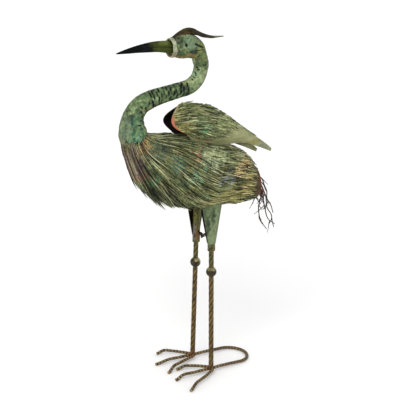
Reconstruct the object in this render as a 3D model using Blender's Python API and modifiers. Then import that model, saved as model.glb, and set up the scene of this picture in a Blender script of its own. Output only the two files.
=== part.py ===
"""A standing heron of patinated sheet metal, round bar and wire.

The bird faces -X and stands on +Z up, its left side towards -Y. Sizes are in metres. The heights of
the body, wings, neck and head are measured from the hips, so that longer legs lift all of them.
"""

from math import cos, pi, radians, sin, sqrt

import bmesh
import bpy
from mathutils import Matrix, Vector

# Bars, tubes and fits
CLEARANCE = 0.0003
LEG_BAR = 0.012
TOE_BAR = 0.008
BRACE_WIRE = 0.003
TAIL_WIRE = 0.0024
KNEE_BALL = 0.025
SLEEVE_TUBE = 0.018
SHEET = 0.0012
WING_SHEET = 0.0018
BAR_SIDES = 8

# Legs: the bars lean in and back a little from the feet to the hips
HIP_HEIGHT = 0.430
FOOT_SPREAD = 0.083
HIP_SPREAD = 0.0596
HIP_BACK = 0.007
LEG_END_HEIGHT = 0.008
TOE_HEIGHT = 0.012
KNEE_HEIGHT = 0.264
SLEEVE_DROP = 0.112
THIGH_DROP = 0.093
THIGH_RISE = 0.018
THIGH_HALF_LENGTH = 0.0285
THIGH_HALF_WIDTH = 0.0240
THIGH_LEAN = 0.0015
THIGH_OPENING = (radians(62), radians(100))

# Heel loop: two straight runs and a half circle behind
LOOP_STRAIGHT = 0.0845
LOOP_SINK = 0.0004

# Toes: points of each bar in the ground plane, from its foot's centre, forward and outward
TOE_DROP_SHARE = 0.62
TOES = {
    "toe_right_outer": ((0.0000, 0.0080), (0.0209, 0.0332), (0.0454, 0.0586), (0.0639, 0.0666)),
    "toe_right_middle": ((0.0000, 0.0020), (0.0300, 0.0060), (0.0620, 0.0120), (0.0946, 0.0198)),
    "toe_right_inner": ((0.0000, -0.0050), (0.0384, -0.0155), (0.0670, -0.0226), (0.0904, -0.0338)),
    "toe_left_inner": ((0.0000, -0.0080), (0.0198, -0.0271), (0.0460, -0.0450), (0.0660, -0.0530)),
    "toe_left_middle": ((0.0000, -0.0010), (0.0420, -0.0045), (0.0720, -0.0095), (0.0948, -0.0086)),
    "toe_left_outer": ((0.0000, 0.0080), (0.0351, 0.0269), (0.0682, 0.0411), (0.0928, 0.0544)),
}

# Body: stations from the breast to the open rear, as back, up from the hips, half height, lean
BODY_STATIONS = (
    (-0.1950, 0.1700, 0.0200, 0.00),
    (-0.1495, 0.1410, 0.0515, 0.00),
    (-0.1027, 0.1140, 0.0700, 0.00),
    (-0.0542, 0.0905, 0.0816, 0.00),
    (-0.0047, 0.0685, 0.0866, 0.00),
    (0.0465, 0.0596, 0.0765, 0.05),
    (0.0979, 0.0468, 0.0612, 0.25),
    (0.1450, 0.0250, 0.0370, 0.50),
)
BODY_WIDTH_SHARE = 0.90
BODY_ROWS = 11
BODY_COLUMNS = 44
FEATHER_LIFT = 0.0025
BELLY_LIFT = 0.0062
LEAST_LIFT = 0.0003
FEATHER_REACH = 0.30
WING_SEAT_GAP = 0.0008
REAR_WALL = 0.005
REAR_DEPTH = 0.030
BREAST_BULGE = 0.008

# Neck: centre line from the head down to the breast, as back, share of the rise from the collar to the
# head's centre, radius
COLLAR_RISE = 0.1945
NECK_LINE = (
    (-0.0110, 0.9303, 0.0170),
    (-0.0048, 0.7962, 0.0178),
    (-0.0020, 0.7126, 0.0168),
    (-0.0113, 0.5700, 0.0163),
    (-0.0330, 0.4831, 0.0170),
    (-0.0684, 0.4563, 0.0176),
    (-0.1066, 0.4343, 0.0188),
    (-0.1375, 0.4059, 0.0203),
    (-0.1628, 0.3512, 0.0213),
    (-0.1786, 0.2472, 0.0235),
    (-0.1830, 0.1367, 0.0280),
    (-0.1816, 0.0617, 0.0320),
    (-0.1785, 0.0000, 0.0340),
)
NECK_SPAN_STEPS = 2
NECK_SIDES = 20
COLLAR_TONGUE = 0.034
COLLAR_TONGUE_ANGLE = radians(16)
COLLAR_SLOT_ANGLE = radians(30)
COLLAR_HOLLOW_SHARE = 0.8
COLLAR_SPREAD = 0.010
COLLAR_RAG = 0.004
COLLAR_GROOVE = 0.006
COLLAR_SEAT_GAP = 0.0006

# Head, from its own centre
HEAD_BACK = -0.0393
HEAD_RISE = 0.3810
HEAD_WIDTH_SHARE = 0.86
HEAD_SAG = 0.38
HEAD_PROFILE = (
    (0.0463, 0.0000), (0.0440, 0.0095), (0.0370, 0.0180), (0.0240, 0.0252), (0.0080, 0.0288),
    (-0.0080, 0.0294), (-0.0220, 0.0275), (-0.0340, 0.0232), (-0.0400, 0.0200),
)
FACE_RIM_FRONT = -0.0455
FACE_RIM_RADIUS = 0.0186
FACE_RIM_ROLL = 0.0036
FACE_DEPTH = 0.0090
HEAD_SIDES = 18
EYE_BACK = -0.0010
EYE_RISE = 0.0035
EYE_RADIUS = 0.0032
EYE_DEPTH = 0.0020

# Beak: stations from the face to the tip, as length from the face rim, rise, half height
BEAK_STATIONS = (
    (-0.0080, 0.0000, 0.0132), (0.0050, 0.0022, 0.0140), (0.0300, 0.0062, 0.0124),
    (0.0530, 0.0075, 0.0110), (0.0800, 0.0076, 0.0085), (0.1050, 0.0066, 0.0057),
    (0.1250, 0.0054, 0.0028), (0.1345, 0.0048, 0.0010),
)
BEAK_WIDTH_SHARE = 0.72
BEAK_SIDES = 14
MOUTH_GROOVE = 0.0012

# Crest: stations from the brow to the tip behind, as back from the head's centre, ridge above it,
# half width, droop of the sides
CREST_STATIONS = (
    (-0.0470, 0.0188, 0.0020, 0.0010), (-0.0367, 0.0245, 0.0055, 0.0030),
    (-0.0207, 0.0332, 0.0095, 0.0055), (-0.0057, 0.0382, 0.0120, 0.0080),
    (0.0073, 0.0380, 0.0130, 0.0100), (0.0193, 0.0342, 0.0125, 0.0115),
    (0.0313, 0.0270, 0.0110, 0.0105), (0.0453, 0.0198, 0.0085, 0.0075),
    (0.0633, 0.0130, 0.0058, 0.0045), (0.0803, 0.0098, 0.0036, 0.0022),
    (0.0973, 0.0077, 0.0012, 0.0007),
)
CREST_SHEET = 0.0018

# Wings: stations from the open front to the tip, each with the top edge and the lower edge as
# back, out, up from the hips, then the bulge out, the bulge forward and the flange under the wing
WING_STATIONS = (
    ((-0.0660, 0.0060, 0.2505), (-0.0620, 0.0340, 0.1860), 0.012, 0.036, 0.001),
    ((-0.0370, 0.0080, 0.2498), (-0.0370, 0.0380, 0.1770), 0.018, 0.012, 0.016),
    ((0.0050, 0.0110, 0.2372), (-0.0020, 0.0400, 0.1675), 0.020, 0.002, 0.020),
    ((0.0500, 0.0160, 0.2112), (0.0370, 0.0400, 0.1582), 0.016, 0.000, 0.018),
    ((0.1000, 0.0210, 0.1705), (0.0880, 0.0370, 0.1445), 0.010, 0.000, 0.006),
    ((0.1500, 0.0260, 0.1320), (0.1300, 0.0330, 0.1240), 0.004, 0.000, 0.001),
    ((0.1770, 0.0285, 0.1085), (0.1740, 0.0300, 0.1025), 0.001, 0.000, 0.001),
)
RIGHT_WING_DROP = (0.010, 0.018)
RIGHT_WING_FORWARD = 0.55
WING_ROWS = 6
WING_FEATHERED_SHARE = 0.56
WING_PLAIN_ROWS = 3
WING_COLUMNS = 15
WING_FEATHER_LIFT = 0.0016

# Tail wires: how far out each hangs, and its points as back, up from the hips, from the recess's floor
TAIL_WIRES = (
    (-0.012, ((0.1192, 0.0200), (0.1420, 0.0270), (0.1614, 0.0310), (0.1730, 0.0100), (0.1790, -0.0083),
              (0.1809, -0.0273), (0.1911, -0.0454), (0.1990, -0.0658))),
    (0.012, ((0.1192, 0.0200), (0.1430, 0.0245), (0.1630, 0.0230), (0.1801, 0.0073), (0.1971, -0.0208))),
    (-0.022, ((0.1192, 0.0185), (0.1400, 0.0170), (0.1600, 0.0100), (0.1700, -0.0120), (0.1745, -0.0420),
              (0.1846, -0.0615), (0.1892, -0.0776), (0.1926, -0.0982))),
    (0.024, ((0.1192, 0.0190), (0.1400, 0.0100), (0.1560, -0.0050), (0.1660, -0.0240), (0.1760, -0.0380),
             (0.1844, -0.0518))),
    (0.003, ((0.1192, 0.0180), (0.1400, 0.0095), (0.1620, 0.0040), (0.1745, -0.0120), (0.1670, -0.0382),
             (0.1650, -0.0591), (0.1680, -0.0746), (0.1745, -0.0914), (0.1899, -0.1115))),
    (-0.032, ((0.1192, 0.0190), (0.1400, 0.0145), (0.1560, 0.0040), (0.1610, -0.0280), (0.1650, -0.0560),
              (0.1760, -0.0760), (0.1890, -0.0860))),
    (0.034, ((0.1192, 0.0200), (0.1400, 0.0170), (0.1640, 0.0040), (0.1800, -0.0130), (0.1900, -0.0340),
             (0.1980, -0.0520), (0.2090, -0.0700))),
)

# Finishes: colour, roughness, metallic
PATINA_GREEN = ("6F8468", 0.60, 0.35)
FEATHER_GREEN = ("5F6A4E", 0.65, 0.35)
WING_GREEN = ("7C8A5F", 0.60, 0.35)
DARK_BRONZE = ("3D3226", 0.45, 0.60)
HORN_DARK = ("2E3330", 0.40, 0.40)
BAR_BROWN = ("5B4F33", 0.60, 0.50)
BALL_DARK = ("3F3C30", 0.45, 0.60)
WIRE_DARK = ("332B20", 0.60, 0.60)


def clear_scene():
    for thing in list(bpy.data.objects):
        bpy.data.objects.remove(thing, do_unlink=True)


def make_collection(name):
    collection = bpy.data.collections.new(name)
    bpy.context.scene.collection.children.link(collection)
    return collection


def linear(channel):
    return channel / 12.92 if channel <= 0.04045 else ((channel + 0.055) / 1.055) ** 2.4


def make_material(name, finish):
    colour, roughness, metallic = finish
    material = bpy.data.materials.new(name)
    material.use_nodes = True
    shader = material.node_tree.nodes["Principled BSDF"]
    red, green, blue = (linear(int(colour[i:i + 2], 16) / 255) for i in (0, 2, 4))
    shader.inputs["Base Color"].default_value = (red, green, blue, 1)
    shader.inputs["Roughness"].default_value = roughness
    shader.inputs["Metallic"].default_value = metallic
    return material


def add_part(name, mesh, finish, collection, root, crease=35):
    """A named sub-part with its own material, smooth but for edges sharper than the crease angle."""
    part = bpy.data.objects.new(name, mesh)
    collection.objects.link(part)
    part.parent = root
    mesh.materials.clear()
    mesh.materials.append(make_material(name + "_finish", finish))
    mesh.shade_smooth()
    mesh.set_sharp_from_angle(angle=radians(crease))
    return part


def add_cutter(name, mesh, collection, root):
    cutter = bpy.data.objects.new(name, mesh)
    collection.objects.link(cutter)
    cutter.parent = root
    cutter.hide_render = True
    cutter.display_type = "WIRE"
    return cutter


def cut(part, cutter):
    modifier = part.modifiers.new("cut_" + cutter.name, "BOOLEAN")
    modifier.operation = "DIFFERENCE"
    modifier.solver = "EXACT"
    modifier.object = cutter


def curve_through(points, value):
    """A smooth curve through the points (tuples of numbers), read at a value from 0 to 1."""
    spans = len(points) - 1
    place = min(max(value, 0.0), 1.0) * spans
    i = min(int(place), spans - 1)
    t = place - i
    a, b = points[i], points[i + 1]
    before = points[i - 1] if i > 0 else tuple(2 * p - q for p, q in zip(a, b))
    after = points[i + 2] if i + 2 <= spans else tuple(2 * q - p for p, q in zip(a, b))
    return tuple(
        0.5 * (2 * p1 + (p2 - p0) * t + (2 * p0 - 5 * p1 + 4 * p2 - p3) * t ** 2
               + (3 * p1 - p0 - 3 * p2 + p3) * t ** 3)
        for p0, p1, p2, p3 in zip(before, a, b, after))


def blend(low, high, value):
    t = min(max((value - low) / (high - low), 0.0), 1.0)
    return t * t * (3 - 2 * t)


def outward(mesh):
    """Turn every face of a closed mesh outwards."""
    work = bmesh.new()
    work.from_mesh(mesh)
    bmesh.ops.recalc_face_normals(work, faces=work.faces)
    work.to_mesh(mesh)
    work.free()
    return mesh


def loft(name, rings, first=None, last=None, split=False, sheet=False):
    """A closed skin over rings of equal count, capped by a point or, without one, by a flat face.

    With split, every face is split the same way, so that a grown copy keeps its distance. With sheet,
    a ring runs out along one side of a sheet and back along the other, and its ends are closed across."""
    work = bmesh.new()
    rows = [[work.verts.new(point) for point in ring] for ring in rings]
    count = len(rings[0])
    for low, high in zip(rows, rows[1:]):
        for i in range(count):
            j = (i + 1) % count
            work.faces.new((low[i], low[j], high[j], high[i]))
    for row, tip in ((rows[0], first), (rows[-1], last)):
        if sheet:
            for i in range(count // 2 - 1):
                work.faces.new((row[i], row[i + 1], row[count - 2 - i], row[count - 1 - i]))
            continue
        if tip is None:
            work.faces.new(row)
            continue
        point = work.verts.new(tip)
        for i in range(count):
            work.faces.new((row[i], row[(i + 1) % count], point))
    mesh = bpy.data.meshes.new(name)
    if split:
        bmesh.ops.triangulate(work, faces=work.faces, quad_method="FIXED")
    else:
        bmesh.ops.triangulate(work, faces=[face for face in work.faces if len(face.verts) > 4])
    bmesh.ops.recalc_face_normals(work, faces=work.faces)
    work.to_mesh(mesh)
    work.free()
    return mesh


def tube_mesh(name, points, diameter, sides=BAR_SIDES, grow=0.0, tip_share=1.0):
    """A round bar along the points, as a mesh. It narrows towards its end to the tip share."""
    curve = bpy.data.curves.new(name, "CURVE")
    curve.dimensions = "3D"
    curve.bevel_depth = 1.0
    curve.bevel_resolution = sides // 2 - 2
    curve.use_fill_caps = True
    spline = curve.splines.new("POLY")
    spline.points.add(len(points) - 1)
    for i, (point, position) in enumerate(zip(spline.points, points)):
        share = i / (len(points) - 1)
        point.co = (*position, 1)
        point.radius = (diameter / 2) * (1 + (tip_share - 1) * share) + grow
    guide = bpy.data.objects.new(name, curve)
    bpy.context.scene.collection.objects.link(guide)
    evaluated = guide.evaluated_get(bpy.context.evaluated_depsgraph_get())
    mesh = bpy.data.meshes.new_from_object(evaluated)
    mesh.transform(guide.matrix_world)
    bpy.data.objects.remove(guide, do_unlink=True)
    work = bmesh.new()
    work.from_mesh(mesh)
    bmesh.ops.remove_doubles(work, verts=work.verts, dist=0.00001)
    bmesh.ops.recalc_face_normals(work, faces=work.faces)
    work.to_mesh(mesh)
    work.free()
    return mesh


def box_mesh(name, low, high):
    work = bmesh.new()
    bmesh.ops.create_cube(work, size=1.0)
    size = Vector(high) - Vector(low)
    middle = (Vector(high) + Vector(low)) / 2
    bmesh.ops.scale(work, vec=size, verts=work.verts)
    bmesh.ops.translate(work, vec=middle, verts=work.verts)
    mesh = bpy.data.meshes.new(name)
    work.to_mesh(mesh)
    work.free()
    return mesh


def leg_point(side, height):
    """The centre of a leg bar at a height. The side is +1 on the right and -1 on the left."""
    share = (height - TOE_HEIGHT) / (HIP_HEIGHT - TOE_HEIGHT)
    return Vector((HIP_BACK * share, side * (FOOT_SPREAD + (HIP_SPREAD - FOOT_SPREAD) * share) / 2, height))


def leg_tube(name, side, bottom, top, diameter, sides=14):
    return tube_mesh(name, (leg_point(side, bottom), leg_point(side, top)), diameter, sides)


def body_frame(along):
    """The centre, the upward and backward directions and the half height of the body at a share."""
    back, up, half, lean = curve_through(BODY_STATIONS, along)
    step = 0.01
    ahead = curve_through(BODY_STATIONS, along + step)
    behind = curve_through(BODY_STATIONS, along - step)
    course = Vector((ahead[0] - behind[0], 0, ahead[1] - behind[1])).normalized()
    rise = Vector((-course.z, 0, course.x))
    return Vector((back, 0, HIP_HEIGHT + up)), course, rise, half, lean


def body_point(along, angle, lift=0.0, inset=0.0):
    """A point of the body's skin. The angle is 0 on the back and half a turn at the belly."""
    centre, course, rise, half, lean = body_frame(along)
    half = half + lift - inset
    place = centre + rise * (half * cos(angle)) - course * (lean * half * cos(angle))
    place.y = half * BODY_WIDTH_SHARE * sin(angle)
    return place


def feather_lift(angle, along):
    """How far a feather's point stands off: more under the belly, and flat under the wings."""
    bend = abs((angle + pi) % (2 * pi) - pi)
    belly = blend(1.7, 2.6, bend) * blend(0.10, 0.30, along)
    wing_seat = (1 - blend(0.55, 0.75, bend)) * blend(0.28, 0.36, along) * (1 - blend(0.84, 0.90, along))
    return LEAST_LIFT + (FEATHER_LIFT + BELLY_LIFT * belly) * (1 - wing_seat)


def body_mesh():
    """The breast cap, rows of pointed feathers and the recess of the open rear."""
    def ring(along, lift_share, inset=0.0):
        points = []
        for column in range(BODY_COLUMNS):
            angle = 2 * pi * column / BODY_COLUMNS
            points.append(body_point(along, angle, feather_lift(angle, along) * lift_share, inset))
        return points

    rings = [ring(0.0, 0.0)]
    for row in range(BODY_ROWS - 1):
        boundary = (row + 1) / BODY_ROWS
        points, tucks = [], []
        for column in range(BODY_COLUMNS):
            angle = 2 * pi * column / BODY_COLUMNS
            pointed = (column + row) % 2 == 0
            along = boundary + (FEATHER_REACH if pointed else -FEATHER_REACH) / BODY_ROWS
            lift = feather_lift(angle, along) * (1.0 if pointed else 0.4)
            points.append(body_point(along, angle, lift))
            tucks.append(body_point(along, angle))
        rings += [points, tucks]
    rings.append(ring(1.0, 0.4))
    rim = ring(1.0, 0.0, REAR_WALL)
    course = body_frame(1.0)[1]
    rings += [rim, [point - course * REAR_DEPTH for point in rim]]
    breast = body_frame(0.0)
    return loft("body", rings, first=breast[0] - breast[1] * BREAST_BULGE)


def body_envelope_mesh():
    """The body's smooth skin with the seat gap added, for trimming the wings that rest on it."""
    samples, columns = 4 * BODY_ROWS, 2 * BODY_COLUMNS
    rings = [[body_point(i / samples, 2 * pi * j / columns, WING_SEAT_GAP) for j in range(columns)]
             for i in range(samples + 1)]
    return loft("body_envelope", rings)


def rim_reach(angle):
    """How far the collar's edge runs on down the breast: a tongue in front and a ragged edge."""
    turn = abs((angle + pi) % (2 * pi) - pi)
    tongue = COLLAR_TONGUE * (1 - blend(COLLAR_TONGUE_ANGLE, COLLAR_SLOT_ANGLE, turn))
    rag = COLLAR_RAG * sin(5 * turn + 0.8) * blend(COLLAR_SLOT_ANGLE, 2 * COLLAR_SLOT_ANGLE, turn)
    return tongue + rag


def neck_place(along):
    """The centre and the radius of the neck, at a share of the way from the head to the collar."""
    back, share, radius = curve_through(NECK_LINE, along)
    up = COLLAR_RISE + (HEAD_RISE - COLLAR_RISE) * share
    return Vector((back, 0, HIP_HEIGHT + up)), radius


def neck_mesh(name, spread=0.0, run_on=0.0):
    """The neck from the head to the collar, wider by the spread and longer by the run on.

    The angle is 0 in front, at the throat's side."""
    samples = NECK_SPAN_STEPS * (len(NECK_LINE) - 1)

    def ring(along, spread, share=1.0, edge=False):
        centre, radius = neck_place(along)
        spread = spread * blend(0.62, 0.74, along)
        step = 0.005
        course = (neck_place(along + step)[0] - neck_place(along - step)[0]).normalized()
        front = Vector((course.z, 0, -course.x))
        points = []
        for j in range(NECK_SIDES):
            angle = 2 * pi * j / NECK_SIDES
            turn = abs((angle + pi) % (2 * pi) - pi)
            flare = COLLAR_SPREAD * blend(0.86, 1.0, along) * blend(radians(110), radians(180), turn)
            place = centre + front * (cos(angle) * (radius + flare + spread) * share)
            place.y = sin(angle) * (radius + spread) * share
            if along == 1.0:
                place += course * (run_on + (rim_reach(angle) if edge else 0.0))
            points.append(place)
        return points

    rings = [ring(i / samples, spread) for i in range(samples)] + [ring(1.0, spread, edge=True)]
    if spread > 0:
        rings.append(ring(1.0, 0.0, edge=True))
    rings.append(ring(1.0, 0.0, COLLAR_HOLLOW_SHARE))
    middle = sum(rings[-1], Vector()) / NECK_SIDES
    return loft(name, rings, last=middle, split=True)


def head_centre():
    return Vector((HEAD_BACK, 0, HIP_HEIGHT + HEAD_RISE))


def turned_mesh(name, profile, sides, place):
    """A profile of (length, radius) pairs turned about the length, squeezed, sagging behind, in its place."""
    mesh = bpy.data.meshes.new(name)
    corners = [(radius, 0, -length) for length, radius in profile]
    mesh.from_pydata(corners, [(i, i + 1) for i in range(len(corners) - 1)], [])
    guide = bpy.data.objects.new(name, mesh)
    bpy.context.scene.collection.objects.link(guide)
    screw = guide.modifiers.new("turn", "SCREW")
    screw.axis = "Z"
    screw.steps = sides
    screw.render_steps = sides
    screw.use_merge_vertices = True
    screw.merge_threshold = 0.0001
    evaluated = guide.evaluated_get(bpy.context.evaluated_depsgraph_get())
    turned = bpy.data.meshes.new_from_object(evaluated)
    bpy.data.objects.remove(guide, do_unlink=True)
    lay_down = Matrix(((0, 0, -1, 0), (0, 1, 0, 0), (1, 0, 0, 0), (0, 0, 0, 1)))
    squeeze = Matrix.Diagonal((1, HEAD_WIDTH_SHARE, 1, 1))
    turned.transform(squeeze @ lay_down)
    for vertex in turned.vertices:
        vertex.co.z -= HEAD_SAG * max(0.0, vertex.co.x)
    turned.transform(Matrix.Translation(place))
    return outward(turned)


def head_mesh():
    rim_middle = FACE_RIM_FRONT + FACE_RIM_ROLL / 2
    seat_radius = FACE_RIM_RADIUS - FACE_RIM_ROLL
    rim = []
    for degrees in (60, 100, 140, 180, 220, 260, 300):
        turn = radians(degrees)
        rim.append((rim_middle + cos(turn) * FACE_RIM_ROLL / 2, FACE_RIM_RADIUS - FACE_RIM_ROLL / 2
                    + sin(turn) * FACE_RIM_ROLL / 2))
    seat = [(FACE_RIM_FRONT + FACE_DEPTH, seat_radius), (FACE_RIM_FRONT + FACE_DEPTH, 0.0)]
    return turned_mesh("head", list(HEAD_PROFILE) + rim + seat, HEAD_SIDES, head_centre())


def head_envelope_mesh():
    """The head's outer form with the clearance added, closed in front, for trimming the neck and crest."""
    outer = [(length, radius + (CLEARANCE if radius > 0 else 0)) for length, radius in HEAD_PROFILE]
    outer[0] = (outer[0][0] + CLEARANCE, 0.0)
    front = [(FACE_RIM_FRONT - CLEARANCE, FACE_RIM_RADIUS + CLEARANCE), (FACE_RIM_FRONT - CLEARANCE, 0.0)]
    return turned_mesh("head_envelope", outer + front, HEAD_SIDES, head_centre())


def beak_mesh():
    """The beak, with a shallow groove for the mouth along both sides."""
    face = head_centre() + Vector((FACE_RIM_FRONT, 0, 0))
    seat = FACE_RIM_RADIUS - FACE_RIM_ROLL - 2 * CLEARANCE
    rings = []
    for length, rise, half in BEAK_STATIONS:
        ring = []
        for j in range(BEAK_SIDES):
            angle = 2 * pi * j / BEAK_SIDES
            groove = MOUTH_GROOVE * (half / BEAK_STATIONS[0][2]) if j in (0, BEAK_SIDES // 2) else 0.0
            tall = min(half, seat) if length < 0 else half
            ring.append(face + Vector((-length, cos(angle) * (tall * BEAK_WIDTH_SHARE - groove),
                                       rise + sin(angle) * tall)))
        rings.append(ring)
    return loft("beak", rings)


def crest_mesh():
    """A leaf folded along its ridge, thin at the edges and pointed at both ends."""
    rings = []
    for back, ridge, half_width, droop in CREST_STATIONS:
        centre = head_centre() + Vector((back, 0, ridge))
        top = [centre + Vector((0, side * half_width * out, -droop * out ** 1.6))
               for side, out in ((-1, 1.0), (-1, 0.5), (1, 0.0), (1, 0.5), (1, 1.0))]
        sheet = min(CREST_SHEET, half_width)
        under = [point - Vector((0, 0, sheet)) for point in reversed(top)]
        rings.append(top + under)
    return loft("crest", rings, sheet=True)


def wing_skin(along, across, side):
    """A point of a wing's outer skin: 0 to 1 across from the top edge to the lower edge, then the flange."""
    flat = [(*top, *low, out, forward, flange) for top, low, out, forward, flange in WING_STATIONS]
    values = curve_through(flat, along)
    top, low = Vector(values[0:3]), Vector(values[3:6])
    out, forward, flange = values[6:9]
    drop = 0.0
    if side > 0:
        drop = RIGHT_WING_DROP[0] + (RIGHT_WING_DROP[1] - RIGHT_WING_DROP[0]) * along
        forward *= RIGHT_WING_FORWARD
    if across <= 1.0:
        swell = sin(pi * across)
        place = top.lerp(low, across) + Vector((-forward, out, 0)) * swell
    else:
        curl = (across - 1.0) * 4
        place = low + Vector((0, -0.8 * flange * curl ** 1.3, -flange * curl))
    return Vector((place.x, side * place.y, HIP_HEIGHT + place.z - drop))


def wing_normal(along, across, side):
    """The outward direction of a wing's skin. The flange keeps that of the lower edge."""
    step = 0.01
    across = min(across, 1 - step)
    a = wing_skin(min(along + step, 1), across, side) - wing_skin(max(along - step, 0), across, side)
    b = wing_skin(along, across + step, side) - wing_skin(along, max(across - step, 0), side)
    facing = a.cross(b).normalized()
    return facing if facing.y * side > 0 else -facing


def wing_mesh(name, side):
    """A cupped sheet with rows of pointed feathers in front and a smooth blade behind."""
    shares = [i / (WING_COLUMNS - 4) for i in range(WING_COLUMNS - 3)] + [1.08, 1.17, 1.25]
    count = len(shares)

    def ring(alongs, lifts, shift=0.0):
        outer = [wing_skin(a, v, side) + wing_normal(a, v, side) * lift
                 for a, v, lift in zip(alongs, shares, lifts)]
        inner = [wing_skin(a + shift, v, side) - wing_normal(a + shift, v, side) * WING_SHEET
                 for a, v in zip(alongs, shares)]
        return outer + inner[::-1]

    rings = [ring([0.0] * count, [0.0] * count)]
    step = WING_FEATHERED_SHARE / WING_ROWS
    for row in range(WING_ROWS):
        boundary = step * (row + 1)
        along = [boundary + (step if (i + row) % 2 == 0 else -step) * FEATHER_REACH for i in range(count)]
        lifts = [(1.0 if (i + row) % 2 == 0 else 0.4) * WING_FEATHER_LIFT for i in range(count)]
        rings.append(ring(along, lifts, -0.04 * step))
        rings.append(ring(along, [0.0] * count, 0.04 * step))
    smooth_start = WING_FEATHERED_SHARE + step
    for row in range(WING_PLAIN_ROWS + 1):
        along = smooth_start + (1 - smooth_start) * row / WING_PLAIN_ROWS
        rings.append(ring([along] * count, [0.0] * count))
    return loft(name, rings, sheet=True)


def thigh_mesh(name, side):
    """An open half cone of sheet around the outer side of a leg, thickened outwards from the sleeve.

    Both are bent alike, so the left one, turned half round, is open to the front and the right one behind."""
    top_height = HIP_HEIGHT + THIGH_RISE
    bottom_height = HIP_HEIGHT - THIGH_DROP
    bottom_half = SLEEVE_TUBE / 2 + CLEARANCE
    columns, rows = 14, 1
    start = THIGH_OPENING[1]
    sweep = 2 * pi - THIGH_OPENING[0] - THIGH_OPENING[1]
    corners, faces = [], []
    for row in range(rows + 1):
        share = row / rows
        centre = leg_point(side, bottom_height + (top_height - bottom_height) * share)
        centre.x -= THIGH_LEAN * share
        half_x = bottom_half + (THIGH_HALF_LENGTH - bottom_half) * share
        half_y = bottom_half + (THIGH_HALF_WIDTH - bottom_half) * share
        for column in range(columns + 1):
            angle = start + sweep * column / columns
            corners.append(centre + Vector((side * half_x * sin(angle), -side * half_y * cos(angle), 0)))
    for row in range(rows):
        for column in range(columns):
            a = row * (columns + 1) + column
            faces.append((a, a + 1, a + columns + 2, a + columns + 1))
    mesh = bpy.data.meshes.new(name)
    mesh.from_pydata(corners, [], faces)
    work = bmesh.new()
    work.from_mesh(mesh)
    middle = leg_point(side, HIP_HEIGHT)
    outer_face = max(work.faces, key=lambda face: (face.calc_center_median() - middle).y * side)
    if outer_face.normal.y * side < 0:
        bmesh.ops.reverse_faces(work, faces=work.faces)
    work.to_mesh(mesh)
    work.free()
    return mesh


def thigh_pocket_mesh(name, side):
    """The full cone that a thigh and its sleeve stand in, with the clearance, for cutting the body."""
    rings = []
    for share in (0.0, 1.0):
        height = HIP_HEIGHT - THIGH_DROP + (THIGH_DROP + THIGH_RISE) * share
        centre = leg_point(side, height)
        centre.x -= THIGH_LEAN * share
        centre.z += CLEARANCE * share
        bottom_half = SLEEVE_TUBE / 2 + CLEARANCE
        half_x = bottom_half + (THIGH_HALF_LENGTH - bottom_half) * share + SHEET + 2 * CLEARANCE
        half_y = bottom_half + (THIGH_HALF_WIDTH - bottom_half) * share + SHEET + 2 * CLEARANCE
        rings.append([centre + Vector((half_x * cos(2 * pi * i / 32), half_y * sin(2 * pi * i / 32), 0))
                      for i in range(32)])
    return loft(name, rings)


def toe_path(name):
    """A toe runs level from the foot and bends down near its end, to rest on the ground."""
    side = 1 if "right" in name else -1
    foot = leg_point(side, TOE_HEIGHT)
    points = []
    samples = 8
    for i in range(samples + 1):
        share = i / samples
        forward, out = curve_through(TOES[name], share)
        rest_height = TOE_BAR / 2 - LOOP_SINK
        height = TOE_HEIGHT + (rest_height - TOE_HEIGHT) * blend(TOE_DROP_SHARE, 1.0, share)
        points.append(Vector((foot.x - forward, foot.y + side * out, height)))
    return points


def loop_path():
    """The heel loop from the left heel back, around half a circle and forward to the right heel."""
    left = leg_point(-1, TOE_HEIGHT)
    right = leg_point(1, TOE_HEIGHT)
    radius = (right.y - left.y) / 2
    run = LOOP_STRAIGHT + pi * radius / 2
    points = []

    def height(distance):
        return TOE_HEIGHT + (TOE_BAR / 2 - LOOP_SINK - TOE_HEIGHT) * blend(0.0, 0.92, distance / run)

    straight = [LOOP_STRAIGHT * i / 4 for i in range(4)]
    for distance in straight:
        points.append(Vector((left.x + distance, left.y, height(distance))))
    arc_steps = 14
    for i in range(arc_steps + 1):
        turn = pi * i / arc_steps
        along_arc = LOOP_STRAIGHT + radius * min(turn, pi - turn)
        points.append(Vector((left.x + LOOP_STRAIGHT + radius * sin(turn), -radius * cos(turn), height(along_arc))))
    for distance in reversed(straight):
        points.append(Vector((right.x + distance, right.y, height(distance))))
    return points


def build_legs(parts, cutters, root):
    """Leg bars, sleeves, knee balls and thighs, and the grown bars that cut their neighbours."""
    leg_top = HIP_HEIGHT + THIGH_RISE
    for side, word in ((-1, "left"), (1, "right")):
        leg = leg_tube("leg_" + word, side, LEG_END_HEIGHT, leg_top, LEG_BAR)
        add_part("leg_" + word, leg, BAR_BROWN, parts, root)
        grown = leg_tube("leg_bore_" + word, side, -LEG_BAR, leg_top + LEG_BAR, LEG_BAR + 2 * CLEARANCE)
        bore = add_cutter("leg_bore_" + word, grown, cutters, root)

        sleeve_mesh = leg_tube("sleeve_" + word, side, HIP_HEIGHT - SLEEVE_DROP, leg_top, SLEEVE_TUBE)
        sleeve = add_part("sleeve_" + word, sleeve_mesh, PATINA_GREEN, parts, root)
        cut(sleeve, bore)

        work = bmesh.new()
        bmesh.ops.create_uvsphere(work, u_segments=12, v_segments=8, radius=KNEE_BALL / 2)
        ball_mesh = bpy.data.meshes.new("knee_ball_" + word)
        work.to_mesh(ball_mesh)
        work.free()
        ball_mesh.transform(Matrix.Translation(leg_point(side, KNEE_HEIGHT)))
        ball = add_part("knee_ball_" + word, ball_mesh, BALL_DARK, parts, root)
        cut(ball, bore)

        thigh = add_part("thigh_" + word, thigh_mesh("thigh_" + word, side), PATINA_GREEN, parts, root)
        wall = thigh.modifiers.new("wall", "SOLIDIFY")
        wall.thickness = SHEET
        wall.offset = 1.0


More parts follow.
